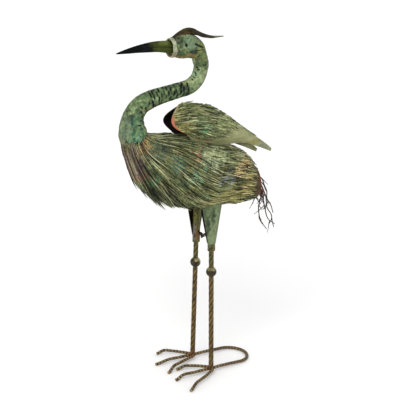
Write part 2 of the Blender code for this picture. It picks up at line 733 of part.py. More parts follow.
def build_feet(parts, cutters, root):
    """Six toes and the heel loop, trimmed to the legs and to each other, and flat where they rest."""
    ground = add_cutter("ground", box_mesh("ground", (-0.3, -0.3, -0.05), (0.3, 0.3, 0.0)), cutters, root)
    bores = {"left": bpy.data.objects["leg_bore_left"], "right": bpy.data.objects["leg_bore_right"]}
    grown_bars = {}
    for word in ("left", "right"):
        name = "toe_%s_middle" % word
        grown = tube_mesh("grown_" + name, toe_path(name), TOE_BAR, grow=CLEARANCE)
        grown_bars[word] = add_cutter("grown_" + name, grown, cutters, root)
    loop_grown = tube_mesh("grown_heel_loop", loop_path(), TOE_BAR, grow=CLEARANCE)
    loop_cutter = add_cutter("grown_heel_loop", loop_grown, cutters, root)

    for name in TOES:
        word = "left" if "left" in name else "right"
        toe = add_part(name, tube_mesh(name, toe_path(name), TOE_BAR), BAR_BROWN, parts, root)
        cut(toe, bores[word])
        if "middle" not in name:
            cut(toe, grown_bars[word])
        cut(toe, loop_cutter)
        cut(toe, ground)

    loop = add_part("heel_loop", tube_mesh("heel_loop", loop_path(), TOE_BAR), BAR_BROWN, parts, root)
    for word in ("left", "right"):
        cut(loop, bores[word])
    cut(loop, ground)


def build_brace(parts, root):
    """A bent wire from sleeve to sleeve."""
    height = HIP_HEIGHT - SLEEVE_DROP * 0.72
    reach = SLEEVE_TUBE / 2 + CLEARANCE
    left = leg_point(-1, height)
    right = leg_point(1, height)
    span = right.y - left.y - 2 * reach
    points = [Vector((right.x, right.y - reach - span * share, height + dip))
              for share, dip in ((0.0, 0.0), (0.25, -0.003), (0.45, -0.012), (0.62, -0.010), (0.80, -0.002), (1.0, 0.0))]
    add_part("leg_brace", tube_mesh("leg_brace", points, BRACE_WIRE, sides=8), WIRE_DARK, parts, root)


def build_body(parts, cutters, root):
    body = add_part("body", body_mesh(), FEATHER_GREEN, parts, root)
    collar = add_cutter("grown_neck", neck_mesh("grown_neck", COLLAR_GROOVE, COLLAR_SEAT_GAP), cutters, root)
    cut(body, collar)
    for side, word in ((-1, "left"), (1, "right")):
        pocket = add_cutter("thigh_pocket_" + word, thigh_pocket_mesh("thigh_pocket_" + word, side), cutters, root)
        cut(body, pocket)


def build_head(parts, cutters, root):
    """Neck, head with eyes, beak and crest."""
    envelope = add_cutter("head_envelope", head_envelope_mesh(), cutters, root)
    neck = add_part("neck", neck_mesh("neck"), PATINA_GREEN, parts, root)
    cut(neck, envelope)
    head = add_part("head", head_mesh(), PATINA_GREEN, parts, root)
    for side, word in ((-1, "left"), (1, "right")):
        work = bmesh.new()
        bmesh.ops.create_uvsphere(work, u_segments=12, v_segments=8, radius=EYE_RADIUS)
        eye = bpy.data.meshes.new("eye_" + word)
        work.to_mesh(eye)
        work.free()
        cheek = sqrt(max(0.0, HEAD_PROFILE[5][1] ** 2 - EYE_RISE ** 2)) * HEAD_WIDTH_SHARE
        out = cheek + EYE_RADIUS - EYE_DEPTH
        eye.transform(Matrix.Translation(head_centre() + Vector((EYE_BACK, side * out, EYE_RISE))))
        cut(head, add_cutter("eye_" + word, eye, cutters, root))
    add_part("beak", beak_mesh(), HORN_DARK, parts, root)
    crest = add_part("crest", crest_mesh(), DARK_BRONZE, parts, root)
    cut(crest, envelope)


def build_wings(parts, cutters, root):
    seat = add_cutter("body_envelope", body_envelope_mesh(), cutters, root)
    for side, word in ((-1, "left"), (1, "right")):
        wing = add_part("wing_" + word, wing_mesh("wing_" + word, side), WING_GREEN, parts, root)
        cut(wing, seat)


def build_tail(parts, root):
    """Thin wires that start in the open rear of the body and hang down behind."""
    for number, (out, line) in enumerate(TAIL_WIRES, start=1):
        samples = len(line)
        points = []
        for i in range(samples + 1):
            back, up = curve_through(line, i / samples)
            points.append(Vector((back, out * (0.6 + 0.4 * i / samples), HIP_HEIGHT + up)))
        name = "tail_wire_%d" % number
        add_part(name, tube_mesh(name, points, TAIL_WIRE, sides=6, tip_share=0.55), WIRE_DARK, parts, root)


def centre_on_ground(parts, root):
    """Move the whole bird so that its box is centred over the origin and stands on the ground."""
    bpy.context.view_layer.update()
    graph = bpy.context.evaluated_depsgraph_get()
    corners = []
    for part in parts.objects:
        evaluated = part.evaluated_get(graph)
        corners += [evaluated.matrix_world @ vertex.co for vertex in evaluated.data.vertices]
    low = Vector([min(corner[axis] for corner in corners) for axis in range(3)])
    high = Vector([max(corner[axis] for corner in corners) for axis in range(3)])
    root.location = (-(low.x + high.x) / 2, -(low.y + high.y) / 2, -low.z)


def main():
    clear_scene()
    parts = make_collection("heron_figurine")
    cutters = make_collection("heron_cutters")
    root = bpy.data.objects.new("heron_origin", None)
    bpy.context.scene.collection.objects.link(root)
    build_legs(parts, cutters, root)
    build_feet(parts, cutters, root)
    build_brace(parts, root)
    build_body(parts, cutters, root)
    build_head(parts, cutters, root)
    build_wings(parts, cutters, root)
    build_tail(parts, root)
    centre_on_ground(parts, root)


main()
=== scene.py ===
"""A standing garden heron of cut, hammered and patinated sheet metal on twisted bar legs.

The bird faces -X, its left side is towards -Y and +Z is up. Sizes are in metres. The lines that the
pieces follow are the same as in the part's own source, measured from the hips.
"""

from math import cos, pi, radians, sin

import bmesh
import bpy
import numpy as np
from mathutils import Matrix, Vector


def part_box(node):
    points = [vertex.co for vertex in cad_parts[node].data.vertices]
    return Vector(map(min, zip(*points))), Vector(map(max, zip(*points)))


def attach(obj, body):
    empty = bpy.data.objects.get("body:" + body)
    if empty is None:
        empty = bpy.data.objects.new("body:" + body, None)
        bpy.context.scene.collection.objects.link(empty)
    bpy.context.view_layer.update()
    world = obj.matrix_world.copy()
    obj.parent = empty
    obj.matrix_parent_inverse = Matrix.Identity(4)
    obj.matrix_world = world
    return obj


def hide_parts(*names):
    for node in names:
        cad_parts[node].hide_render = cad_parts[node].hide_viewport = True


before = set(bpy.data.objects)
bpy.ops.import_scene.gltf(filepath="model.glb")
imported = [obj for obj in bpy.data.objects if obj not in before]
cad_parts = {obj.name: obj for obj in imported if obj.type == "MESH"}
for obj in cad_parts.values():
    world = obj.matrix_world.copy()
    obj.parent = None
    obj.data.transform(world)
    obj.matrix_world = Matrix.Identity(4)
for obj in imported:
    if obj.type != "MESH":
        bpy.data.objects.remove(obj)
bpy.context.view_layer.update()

# Lines and sizes of the solids, repeated from the part's source
LEG_BAR = 0.012
TOE_BAR = 0.008
KNEE_BALL = 0.025
SLEEVE_TUBE = 0.018
WING_SHEET = 0.0016
HIP_HEIGHT = 0.43
FOOT_SPREAD = 0.083
HIP_SPREAD = 0.0596
HIP_BACK = 0.007
LEG_END_HEIGHT = 0.008
TOE_HEIGHT = 0.012
KNEE_HEIGHT = 0.264
SLEEVE_DROP = 0.112
THIGH_DROP = 0.093
THIGH_RISE = 0.018
THIGH_HALF_LENGTH = 0.0285
THIGH_HALF_WIDTH = 0.024
THIGH_LEAN = 0.0015
THIGH_START = radians(100)
LOOP_STRAIGHT = 0.0845
LOOP_SINK = 0.0004
TOE_DROP_SHARE = 0.62
TOES = {
    "toe_right_outer": ((0.0, 0.008), (0.0209, 0.0332), (0.0454, 0.0586), (0.0639, 0.0666)),
    "toe_right_middle": ((0.0, 0.002), (0.03, 0.006), (0.062, 0.012), (0.0946, 0.0198)),
    "toe_right_inner": ((0.0, -0.005), (0.0384, -0.0155), (0.067, -0.0226), (0.0904, -0.0338)),
    "toe_left_inner": ((0.0, -0.008), (0.0198, -0.0271), (0.046, -0.045), (0.066, -0.053)),
    "toe_left_middle": ((0.0, -0.001), (0.042, -0.0045), (0.072, -0.0095), (0.0948, -0.0086)),
    "toe_left_outer": ((0.0, 0.008), (0.0351, 0.0269), (0.0682, 0.0411), (0.0928, 0.0544)),
}
BODY_STATIONS = (
    (-0.195, 0.17, 0.02, 0.0), (-0.1495, 0.141, 0.0515, 0.0), (-0.1027, 0.114, 0.07, 0.0),
    (-0.0542, 0.0905, 0.0816, 0.0), (-0.0047, 0.0685, 0.0866, 0.0), (0.0465, 0.0596, 0.0765, 0.05),
    (0.0979, 0.0468, 0.0612, 0.25), (0.145, 0.025, 0.037, 0.5),
)
BODY_WIDTH_SHARE = 0.9
BODY_LENGTH = 0.4
COLLAR_RISE = 0.1945
HEAD_BACK = -0.0393
HEAD_RISE = 0.381
NECK_LINE = (
    (-0.011, 0.9303, 0.017), (-0.0048, 0.7962, 0.0178), (-0.002, 0.7126, 0.0168),
    (-0.0113, 0.57, 0.0163), (-0.033, 0.4831, 0.017), (-0.0684, 0.4563, 0.0176),
    (-0.1066, 0.4343, 0.0188), (-0.1375, 0.4059, 0.0203), (-0.1628, 0.3512, 0.0213),
    (-0.1786, 0.2472, 0.0235), (-0.183, 0.1367, 0.028), (-0.1816, 0.0617, 0.032),
    (-0.1785, 0.0, 0.034),
)
HEAD_WIDTH_SHARE = 0.86
HEAD_SAG = 0.38
HEAD_PROFILE = (
    (0.0463, 0.0), (0.044, 0.0095), (0.037, 0.018), (0.024, 0.0252), (0.008, 0.0288),
    (-0.008, 0.0294), (-0.022, 0.0275), (-0.034, 0.0232), (-0.04, 0.02),
)
FACE_RIM_FRONT = -0.0455
BEAK_STATIONS = (
    (-0.008, 0.0, 0.0132), (0.005, 0.0022, 0.014), (0.03, 0.0062, 0.0124),
    (0.053, 0.0075, 0.011), (0.08, 0.0076, 0.0085), (0.105, 0.0066, 0.0057),
    (0.125, 0.0054, 0.0028), (0.1345, 0.0048, 0.001),
)
BEAK_WIDTH_SHARE = 0.72
CREST_STATIONS = (
    (-0.047, 0.0188, 0.002, 0.001), (-0.0367, 0.0245, 0.0055, 0.003),
    (-0.0207, 0.0332, 0.0095, 0.0055), (-0.0057, 0.0382, 0.012, 0.008),
    (0.0073, 0.038, 0.013, 0.01), (0.0193, 0.0342, 0.0125, 0.0115),
    (0.0313, 0.027, 0.011, 0.0105), (0.0453, 0.0198, 0.0085, 0.0075),
    (0.0633, 0.013, 0.0058, 0.0045), (0.0803, 0.0098, 0.0036, 0.0022),
    (0.0973, 0.0077, 0.0012, 0.0007),
)
WING_STATIONS = (
    (-0.066, 0.006, 0.2505, -0.062, 0.034, 0.186, 0.012, 0.036, 0.001),
    (-0.037, 0.008, 0.2498, -0.037, 0.038, 0.177, 0.018, 0.012, 0.016),
    (0.005, 0.011, 0.2372, -0.002, 0.04, 0.1675, 0.02, 0.002, 0.02),
    (0.05, 0.016, 0.2112, 0.037, 0.04, 0.1582, 0.016, 0.0, 0.018),
    (0.1, 0.021, 0.1705, 0.088, 0.037, 0.1445, 0.01, 0.0, 0.006),
    (0.15, 0.026, 0.132, 0.13, 0.033, 0.124, 0.004, 0.0, 0.001),
    (0.177, 0.0285, 0.1085, 0.174, 0.03, 0.1025, 0.001, 0.0, 0.001),
)
RIGHT_WING_DROP = (0.01, 0.018)
RIGHT_WING_FORWARD = 0.55
TAIL_WIRES = (
    (-0.012, ((0.1192, 0.02), (0.142, 0.027), (0.1614, 0.031), (0.173, 0.01), (0.179, -0.0083),
              (0.1809, -0.0273), (0.1911, -0.0454), (0.199, -0.0658))),
    (0.012, ((0.1192, 0.02), (0.143, 0.0245), (0.163, 0.023), (0.1801, 0.0073), (0.1971, -0.0208))),
    (-0.022, ((0.1192, 0.0185), (0.14, 0.017), (0.16, 0.01), (0.17, -0.012), (0.1745, -0.042),
              (0.1846, -0.0615), (0.1892, -0.0776), (0.1926, -0.0982))),
    (0.024, ((0.1192, 0.019), (0.14, 0.01), (0.156, -0.005), (0.166, -0.024), (0.176, -0.038),
             (0.1844, -0.0518))),
    (0.003, ((0.1192, 0.018), (0.14, 0.0095), (0.162, 0.004), (0.1745, -0.012), (0.167, -0.0382),
             (0.165, -0.0591), (0.168, -0.0746), (0.1745, -0.0914), (0.1899, -0.1115))),
    (-0.032, ((0.1192, 0.019), (0.14, 0.0145), (0.156, 0.004), (0.161, -0.028), (0.165, -0.056),
              (0.176, -0.076), (0.189, -0.086))),
    (0.034, ((0.1192, 0.02), (0.14, 0.017), (0.164, 0.004), (0.18, -0.013), (0.19, -0.034),
             (0.198, -0.052), (0.209, -0.07))),
)

# Sizes of what only the scene shows. The toes' ribs are drawn coarser than they may be, to show.
EYE = (-0.051, 0.8174)
EYE_HALF = (0.0028, 0.0042)
EYE_DEPTH = 0.0028
CUT_DEPTH = 0.0016
BEAK_GROOVE = 0.001
CREST_SHEET = 0.0012
NECK_LENGTH = 0.46
NECK_RADIUS = 0.019
DENT_HALF_WIDTH = 0.0023
DENT_SLANT = 0.0055
DENT_DEPTH = 0.0008
BELLY_TUCK = 0.008

# The body's strips: rooms between rows and tufts, and how far chance moves each strip or tuft
LAYER_STEP = 0.038
ROW_COVER = 0.95
STRIPS_IN_TUFT = 5
FEWEST_TUFTS = 9
TUFT_SHIFT, TUFT_SHIFT_CALM = 0.024, 0.014
TUFT_TONE, STRIP_TONE = 0.17, 0.32
TUFT_TURN, STRIP_TURN = 0.05, 0.03
STRIP_END, STRIP_ROLL, STRIP_BEND = 0.014, 0.5, 0.06
STRIP_WIDTH_RANGE = (0.0024, 0.0038)
TIP_LIFT, ROOT_SINK, BREAST_LIFT, CROWN_LIFT = 0.003, 0.0016, 0.015, 0.004
BODY_TONES = (0.02, 0.87)

WING_ROWS = 14
WING_STRIP_SPACING = 0.0033
WING_STRIP_LENGTH = (0.07, 0.115)
WING_STRIP_WIDTH = (0.0025, 0.0034)
TOP_EDGE_STRIPS = 46
THIGH_SHEET = 0.0011
LEG_TWIST_PITCH = 0.066
TOE_RIB_PITCH = 0.0084
TAIL_WIRE_HALF = 0.0019
TWIG_HALF = 0.0013

# A strip's width at four places along it, as shares, and how high its ridge is for its half width
STRIP_POINTS = 8
STRIP_PLACES = (0, 0.3, 0.72, 1.0)
STRIP_WIDTHS = (0.62, 1.0, 0.84, 0.06)
BODY_RIDGE = 0.95
WING_RIDGE = 0.8
WIRE_RIDGE = 1.1
TRIANGLE_WIDEN = 1.155

# How far a strip's tone moves its pattern, how dark and bright it makes it, and how patches wander
STRIP_SHIFT = 0.024
STRIP_BRIGHTNESS = (0.1, 1.8)
WANDER_SCALE = 55.0
DULL_SPECULAR = 0.2

SENSOR = 36.0
FOCAL_PIXELS = 1306.122
PICTURE_PIXELS = 400
CAMERA_PLACE = (-1.55137, -2.38118, 1.52581)
CAMERA_TARGET = (0.07571, 0.12432, 0.37904)
FLOOR_HALF = 150


def curve_through(points, value):
    """A smooth curve through the points, read at values from 0 to 1. Gives one row for each value."""
    table = np.asarray(points, float)
    table = np.vstack([2 * table[0] - table[1], table, 2 * table[-1] - table[-2]])
    spans = len(points) - 1
    place = np.clip(np.asarray(value, float), 0.0, 1.0) * spans
    i = np.minimum(place.astype(int), spans - 1)
    t = (place - i)[..., None]
    p0, p1, p2, p3 = table[i], table[i + 1], table[i + 2], table[i + 3]
    return 0.5 * (2 * p1 + (p2 - p0) * t + (2 * p0 - 5 * p1 + 4 * p2 - p3) * t ** 2
                  + (3 * p1 - p0 - 3 * p2 + p3) * t ** 3)


def blend(low, high, value):
    """Rises smoothly from 0 at the low value to 1 at the high one."""
    t = np.clip((np.asarray(value, float) - low) / (high - low), 0.0, 1.0)
    return t * t * (3 - 2 * t)


def unit(vectors):
    return vectors / np.maximum(np.linalg.norm(vectors, axis=-1, keepdims=True), 1e-12)


def wrapped(angle):
    """The angle between minus and plus half a turn."""
    return (angle + pi) % (2 * pi) - pi


def leg_point(side, height):
    """The centre of a leg bar at a height, before the shift. The side is +1 on the right, -1 on the left."""
    share = (np.asarray(height, float) - TOE_HEIGHT) / (HIP_HEIGHT - TOE_HEIGHT)
    across = side * (FOOT_SPREAD + (HIP_SPREAD - FOOT_SPREAD) * share) / 2
    return np.stack([HIP_BACK * share, across, np.asarray(height, float)], axis=-1)


def find_shift():
    """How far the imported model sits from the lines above, read from its knee balls."""
    middle = np.zeros(3)
    for word in ("left", "right"):
        low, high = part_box("knee_ball_" + word)
        middle += (np.array(low) + np.array(high)) / 4
    return np.array([middle[0] - leg_point(1, KNEE_HEIGHT)[0], middle[1], 0.0])


SHIFT = find_shift()
HEAD_CENTRE = np.array([HEAD_BACK, 0, HIP_HEIGHT + HEAD_RISE]) + SHIFT


def body_course(along):
    """The direction of the body's line, as back and up."""
    ahead = curve_through(BODY_STATIONS, along + 0.01)
    behind = curve_through(BODY_STATIONS, along - 0.01)
    return unit(ahead[..., :2] - behind[..., :2])


def body_skin(along, angle, lift=0.0):
    """Points of the body's skin. The angle is 0 on the back and half a turn at the belly."""
    along, angle, lift = np.broadcast_arrays(np.asarray(along, float), angle, lift)
    back, up, half, lean = np.moveaxis(curve_through(BODY_STATIONS, along), -1, 0)
    course = body_course(along)
    half = half + lift
    beyond = np.maximum(along - 1.0, 0.0) * BODY_LENGTH
    rise = half * np.cos(angle)
    run = beyond - lean * rise
    x = back - course[..., 1] * rise + course[..., 0] * run
    z = HIP_HEIGHT + up + course[..., 0] * rise + course[..., 1] * run
    return np.stack([x, half * BODY_WIDTH_SHARE * np.sin(angle), z], axis=-1) + SHIFT


def breast_skin(along, angle, lift=0.0):
    """The body's skin, drawn up in front to the inside of the collar, where the strips are held."""
    along, angle, lift = np.broadcast_arrays(np.asarray(along, float), angle, lift)
    turn = np.abs(wrapped(angle))
    tuck = BELLY_TUCK * blend(1.9, 2.5, turn) * (blend(0.4, 0.52, along) - blend(0.72, 0.84, along))
    skin = body_skin(np.maximum(along, 0.02), angle, lift - tuck)
    behind = 1 - blend(radians(20), radians(75), turn)
    held = neck_skin(0.985, pi - angle, lift, share=0.9 + 0.1 * behind, reach=-0.014 * behind)
    pull = blend(0.16, -0.06, along)[..., None]
    return skin * (1 - pull) + held * pull


def wing_skin(side):
    """A function that gives points of one wing's skin: across is 0 at the top edge, 1 at the lower edge."""
    def skin(along, across, lift=0.0):
        along, across, lift = np.broadcast_arrays(np.asarray(along, float), across, lift)
        values = curve_through(WING_STATIONS, along)
        top, low = values[..., 0:3], values[..., 3:6]
        out, forward, flange = (values[..., i] for i in (6, 7, 8))
        drop = 0.0
        if side > 0:
            drop = RIGHT_WING_DROP[0] + (RIGHT_WING_DROP[1] - RIGHT_WING_DROP[0]) * along
            forward = forward * RIGHT_WING_FORWARD
        swell = np.sin(pi * np.minimum(across, 1.0))
        share = np.minimum(across, 1.0)[..., None]
        place = top * (1 - share) + low * share
        place = place + np.stack([-forward * swell, out * swell, 0 * swell], axis=-1)
        curl = np.maximum(across - 1.0, 0.0) * 4
        place[..., 1] -= 0.8 * flange * curl ** 1.3
        place[..., 2] += HIP_HEIGHT - drop - flange * curl
        place[..., 1] *= side
        if np.any(lift):
            place = place + facing(skin, along, np.minimum(across, 0.99), side) * lift[..., None]
        return place + SHIFT
    return skin


def facing(skin, u, v, side=None):
    """The outward direction of a skin. On a wing it is the one that points to the wing's own side."""
    step = 0.004
    a = skin(u + step, v) - skin(u - step, v)
    b = skin(u, v + step) - skin(u, v - step)
    normal = unit(np.cross(a, b))
    if side is not None:
        normal = normal * np.where(normal[..., 1:2] * side < 0, -1.0, 1.0)
    return normal


def neck_frame(along):
    """The neck's centre, its radius and the directions along it and to its front."""
    def centre(value):
        back, share, radius = np.moveaxis(curve_through(NECK_LINE, value), -1, 0)
        up = HIP_HEIGHT + COLLAR_RISE + (HEAD_RISE - COLLAR_RISE) * share
        return np.stack([back, 0 * back, up], axis=-1), radius

    place, radius = centre(along)
    course = unit(centre(np.asarray(along) + 0.005)[0] - centre(np.asarray(along) - 0.005)[0])
    front = np.stack([course[..., 2], 0 * radius, -course[..., 0]], axis=-1)
    return place, radius, course, front


def rim_reach(angle):
    """How far the collar's edge runs down the breast: a tongue in front, a slot, then a ragged edge."""
    turn = np.abs(wrapped(angle))
    tongue = 0.036 * (1 - blend(radians(15), radians(24), turn))
    slot = -0.007 * blend(radians(20), radians(28), turn) * (1 - blend(radians(32), radians(40), turn))
    raised = -0.015 * blend(radians(100), radians(160), turn)
    rag = 0.0026 * np.sin(5 * turn + 0.8) + 0.0016 * np.sin(17 * angle + 1) + 0.001 * np.sin(31 * angle)
    return tongue + slot + raised + rag * blend(radians(30), radians(60), turn)


def neck_skin(along, angle, lift=0.0, share=1.0, reach=0.0):
    """Points of the neck's skin. The angle is 0 in front, at the throat's side."""
    along, angle, lift = np.broadcast_arrays(np.asarray(along, float), angle, lift)
    place, radius, course, front = neck_frame(along)
    turn = np.abs(wrapped(angle))
    flare = -0.008 * blend(0.8, 0.93, along) * blend(radians(110), radians(180), turn)
    across = np.sin(angle) * (radius + lift) * share
    ahead = np.cos(angle) * (radius + lift + flare) * share
    place = place + front * ahead[..., None] + course * np.asarray(reach)[..., None]
    place[..., 1] += across
    return place + SHIFT


# Meshes


def around(count):
    """Angles of equal steps, once around."""
    return 2 * pi * np.arange(count) / count


def placed(name, data):
    """An object in the scene that holds the data."""
    made = bpy.data.objects.new(name, data)
    bpy.context.scene.collection.objects.link(made)
    return made


def finished(mesh, finish, nodes, crease=None):
    """A piece of the bird, named as its mesh: at the origin, riding on the root, standing for its nodes."""
    piece = placed(mesh.name, mesh)
    mesh.materials.clear()
    mesh.materials.append(finish)
    if crease is not None:
        mesh.shade_smooth()
        mesh.set_sharp_from_angle(angle=radians(crease))
    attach(piece, "root")
    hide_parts(*nodes)


def set_mark(mesh, word, values, kind="FLOAT"):
    """Stores numbers or directions on the mesh's points, under a name that a node tree reads."""
    flat = np.ascontiguousarray(values, np.float32).reshape(-1)
    field = "vector" if kind == "FLOAT_VECTOR" else "value"
    mesh.attributes.new(word, kind, "POINT").data.foreach_set(field, flat)


def loft(name, rings, ends="fans", tips=(None, None), marks=None):
    """A closed skin over rings of equal count.

    Fans close its ends to a tip or to the ring's middle. With "halves" each end is the narrow face between
    the outer and the inner half of its ring. With "joined" the last ring runs on into the first."""
    rings = np.asarray(rings, float)
    rows, count = rings.shape[:2]
    points = list(map(tuple, rings.reshape(-1, 3)))
    grid = np.arange(rows * count).reshape(rows, count)
    beyond = np.roll(grid, -1, axis=0)
    corners = [grid, np.roll(grid, -1, axis=1), np.roll(beyond, -1, axis=1), beyond]
    spans = rows if ends == "joined" else rows - 1
    faces = np.stack(corners, axis=-1)[:spans].reshape(-1, 4).tolist()
    for row, tip in ((0, tips[0]), (rows - 1, tips[1])):
        ring = grid[row].tolist()
        if ends == "fans":
            points.append(tuple(rings[row].mean(axis=0) if tip is None else tip))
            faces += [(a, b, len(points) - 1) for a, b in zip(ring, ring[1:] + ring[:1])]
        elif ends == "halves":
            faces += [(ring[i], ring[i + 1], ring[-2 - i], ring[-1 - i]) for i in range(count // 2 - 1)]
    mesh = bpy.data.meshes.new(name)
    mesh.from_pydata(points, [], faces)
    for word, values in (marks or {}).items():
        values = np.asarray(values, float).reshape(-1)
        set_mark(mesh, word, np.pad(values, (0, len(points) - len(values)), mode="edge"))
    work = bmesh.new()
    work.from_mesh(mesh)
    bmesh.ops.recalc_face_normals(work, faces=work.faces)
    work.to_mesh(mesh)
    work.free()
    return mesh


def tube_frame(path):
    """Directions across a path of points, turned as little as possible from point to point."""
    course = unit(np.gradient(path, axis=0))
    across = np.zeros_like(path)
    start = np.cross(course[0], (0.0, 0.0, 1.0))
    if np.linalg.norm(start) < 0.1:
        start = np.cross(course[0], (0.0, 1.0, 0.0))
    across[0] = unit(start)
    for i in range(1, len(path)):
        across[i] = unit(across[i - 1] - course[i] * (across[i - 1] @ course[i]))
    return across, np.cross(course, across)


def resample(path, step):
    """The path again with equal steps, and the distance run at each of its points."""
    lengths = np.concatenate([[0], np.cumsum(np.linalg.norm(np.diff(path, axis=0), axis=1))])
    count = max(2, int(round(lengths[-1] / step)) + 1)
    wanted = np.linspace(0, lengths[-1], count)
    return np.stack([np.interp(wanted, lengths, path[:, axis]) for axis in range(3)], axis=-1), wanted


def worked_bar(name, path, size, pitch, depth, step, sides, twisted):
    """A bar twisted four-square along its path, or ribbed across. Its hollows are kept as a mark."""
    points, run = resample(path, step)
    across, over = tube_frame(points)
    angle = around(sides)[None, :]
    turns = 2 * pi * run[:, None] / pitch
    phase = 4 * (angle - turns) if twisted else turns + 0.7 * np.cos(angle)
    hollow = 0.5 + 0.5 * np.cos(phase)
    radius = size / 2 * (1 - depth * hollow ** 1.5)
    rings = points[:, None, :] + across[:, None, :] * (radius * np.cos(angle))[..., None] \
        + over[:, None, :] * (radius * np.sin(angle))[..., None]
    return loft(name, rings, marks={"hollow": hollow})


# Geometry Nodes


def add_node(tree, kind, inputs=None, **settings):
    """Adds a node with its settings, and sets or links its inputs, by name or by number."""
    made = tree.nodes.new(kind)
    for word, value in settings.items():
        setattr(made, word, value)
    for socket, value in (inputs or {}).items():
        if isinstance(value, bpy.types.NodeSocket):
            tree.links.new(value, made.inputs[socket])
        else:
            made.inputs[socket].default_value = value
    return made


def strip_tree():
    """Turns lines with a width and a facing direction into narrow ridged strips."""
    tree = bpy.data.node_groups.new("cut_strips", "GeometryNodeTree")
    for word, way, kind in (("Lines", "INPUT", "Geometry"), ("Ridge share", "INPUT", "Float"),
                            ("Finish", "INPUT", "Material"), ("Strips", "OUTPUT", "Geometry")):
        tree.interface.new_socket(word, in_out=way, socket_type="NodeSocket" + kind)

    def add(kind, inputs=None, **settings):
        return add_node(tree, "GeometryNode" + kind, inputs, **settings).outputs[0]

    given = add_node(tree, "NodeGroupInput").outputs
    lines = add("MeshToCurve", {"Mesh": given["Lines"]})
    skin_normal = add("InputNamedAttribute", {"Name": "skin_normal"}, data_type="FLOAT_VECTOR")
    facing_out = add("SetCurveNormal", {"Curve": lines, "Normal": skin_normal}, mode="FREE")
    half_width = add("InputNamedAttribute", {"Name": "half_width"}, data_type="FLOAT")
    triangle = add("CurvePrimitiveCircle", {"Resolution": 3, "Radius": 1.0}, mode="RADIUS")
    turned = add("Transform", {"Geometry": triangle, "Rotation": (0.0, 0.0, pi / 2)})
    size = add_node(tree, "ShaderNodeCombineXYZ", {"X": TRIANGLE_WIDEN, "Y": given["Ridge share"], "Z": 1.0})
    profile = add("Transform", {"Geometry": turned, "Scale": size.outputs[0]})
    strips = add("CurveToMesh", {"Curve": facing_out, "Profile Curve": profile, "Scale": half_width,
                                 "Fill Caps": True})
    flat = add("SetShadeSmooth", {"Geometry": strips, "Shade Smooth": False})
    whole = add("RealizeInstances", {"Geometry": flat})
    dressed = add("SetMaterial", {"Geometry": whole, "Material": given["Finish"]})
    add_node(tree, "NodeGroupOutput", {"Strips": dressed})
    return tree


STRIPS = strip_tree()


def strips_mesh(name, points, normals, half_widths, marks, finish, ridge):
    """A mesh of strips along many lines of equal point count, through the strip tree."""
    lines, per_line = points.shape[:2]
    start = np.arange(lines * per_line).reshape(lines, per_line)[:, :-1]
    edges = np.stack([start, start + 1], axis=-1).reshape(-1, 2)
    guide = bpy.data.meshes.new(name + "_lines")
    guide.from_pydata(points.reshape(-1, 3).tolist(), edges.tolist(), [])
    set_mark(guide, "skin_normal", normals, "FLOAT_VECTOR")
    for word, values in {"half_width": half_widths, **marks}.items():
        set_mark(guide, word, np.broadcast_to(values, (lines, per_line)))
    holder = placed(name + "_lines", guide)
    modifier = holder.modifiers.new("strips", "NODES")
    modifier.node_group = STRIPS
    given = {"Ridge share": ridge, "Finish": finish}
    for item in STRIPS.interface.items_tree:
        if item.item_type == "SOCKET" and item.name in given:
            modifier[item.identifier] = given[item.name]
    mesh = bpy.data.meshes.new_from_object(holder.evaluated_get(bpy.context.evaluated_depsgraph_get()))
    bpy.data.objects.remove(holder, do_unlink=True)
    for word in ("skin_normal", "half_width"):
        if word in mesh.attributes:
            mesh.attributes.remove(mesh.attributes[word])
    mesh.name = name
    work = bmesh.new()
    work.from_mesh(mesh)
    if work.calc_volume(signed=True) < 0:
        bmesh.ops.reverse_faces(work, faces=work.faces)
    work.to_mesh(mesh)
    work.free()
    return mesh


def square_to_lines(normals, points):
    """The directions turned square to the lines through the points, and the lines' own directions."""
    course = unit(np.gradient(points, axis=1))
    return unit(normals - course * (normals * course).sum(axis=-1, keepdims=True)), course


def strips_over(name, skin, u, v, du, dv, lifts, widths, tones, roll, finish, ridge, side=None, bend=None):
    """Strips laid on a skin. Each starts at u, v and runs by du, dv, and rises from its root to its tip."""
    s = np.linspace(0.0, 1.0, STRIP_POINTS)
    bend = 0.0 if bend is None else bend[:, None] * (s ** 2 - s)
    along = u[:, None] + du[:, None] * s
    across = v[:, None] + dv[:, None] * s + bend
    root, tip = lifts
    points = skin(along, across, root[:, None] + (tip - root)[:, None] * s ** 1.7)
    normals, course = square_to_lines(facing(skin, np.clip(along, -0.05, 0.99), across, side), points)
    turn = roll[:, None, None]
    normals = normals * np.cos(turn) + np.cross(course, normals) * np.sin(turn)
    half = widths[:, None] / 2 * np.interp(s, STRIP_PLACES, STRIP_WIDTHS)
    return strips_mesh(name, points, normals, half, {"tone": tones[:, None]}, finish, ridge)


# Finishes


def linear(colour):
    """An sRGB hex colour as linear numbers."""
    channels = (int(colour[i:i + 2], 16) / 255 for i in (0, 2, 4))
    return tuple(c / 12.92 if c <= 0.04045 else ((c + 0.055) / 1.055) ** 2.4 for c in channels) + (1.0,)


def mixed(tree, share, first, second, way="MIX"):
    made = add_node(tree, "ShaderNodeMix", {0: share, 6: first, 7: second}, data_type="RGBA", blend_type=way)
    return made.outputs[2]


def noise(tree, where, scale, detail, roughness=0.5):
    """Noise with a scale in spots to the metre. Gives its outputs."""
    inputs = {"Vector": where, "Scale": scale, "Detail": detail, "Roughness": roughness}
    return add_node(tree, "ShaderNodeTexNoise", inputs).outputs


def ranged(tree, value, low, high, new_low, new_high, way="LINEAR"):
    inputs = {"Value": value, "From Min": low, "From Max": high, "To Min": new_low, "To Max": new_high}
    return add_node(tree, "ShaderNodeMapRange", inputs, interpolation_type=way).outputs[0]


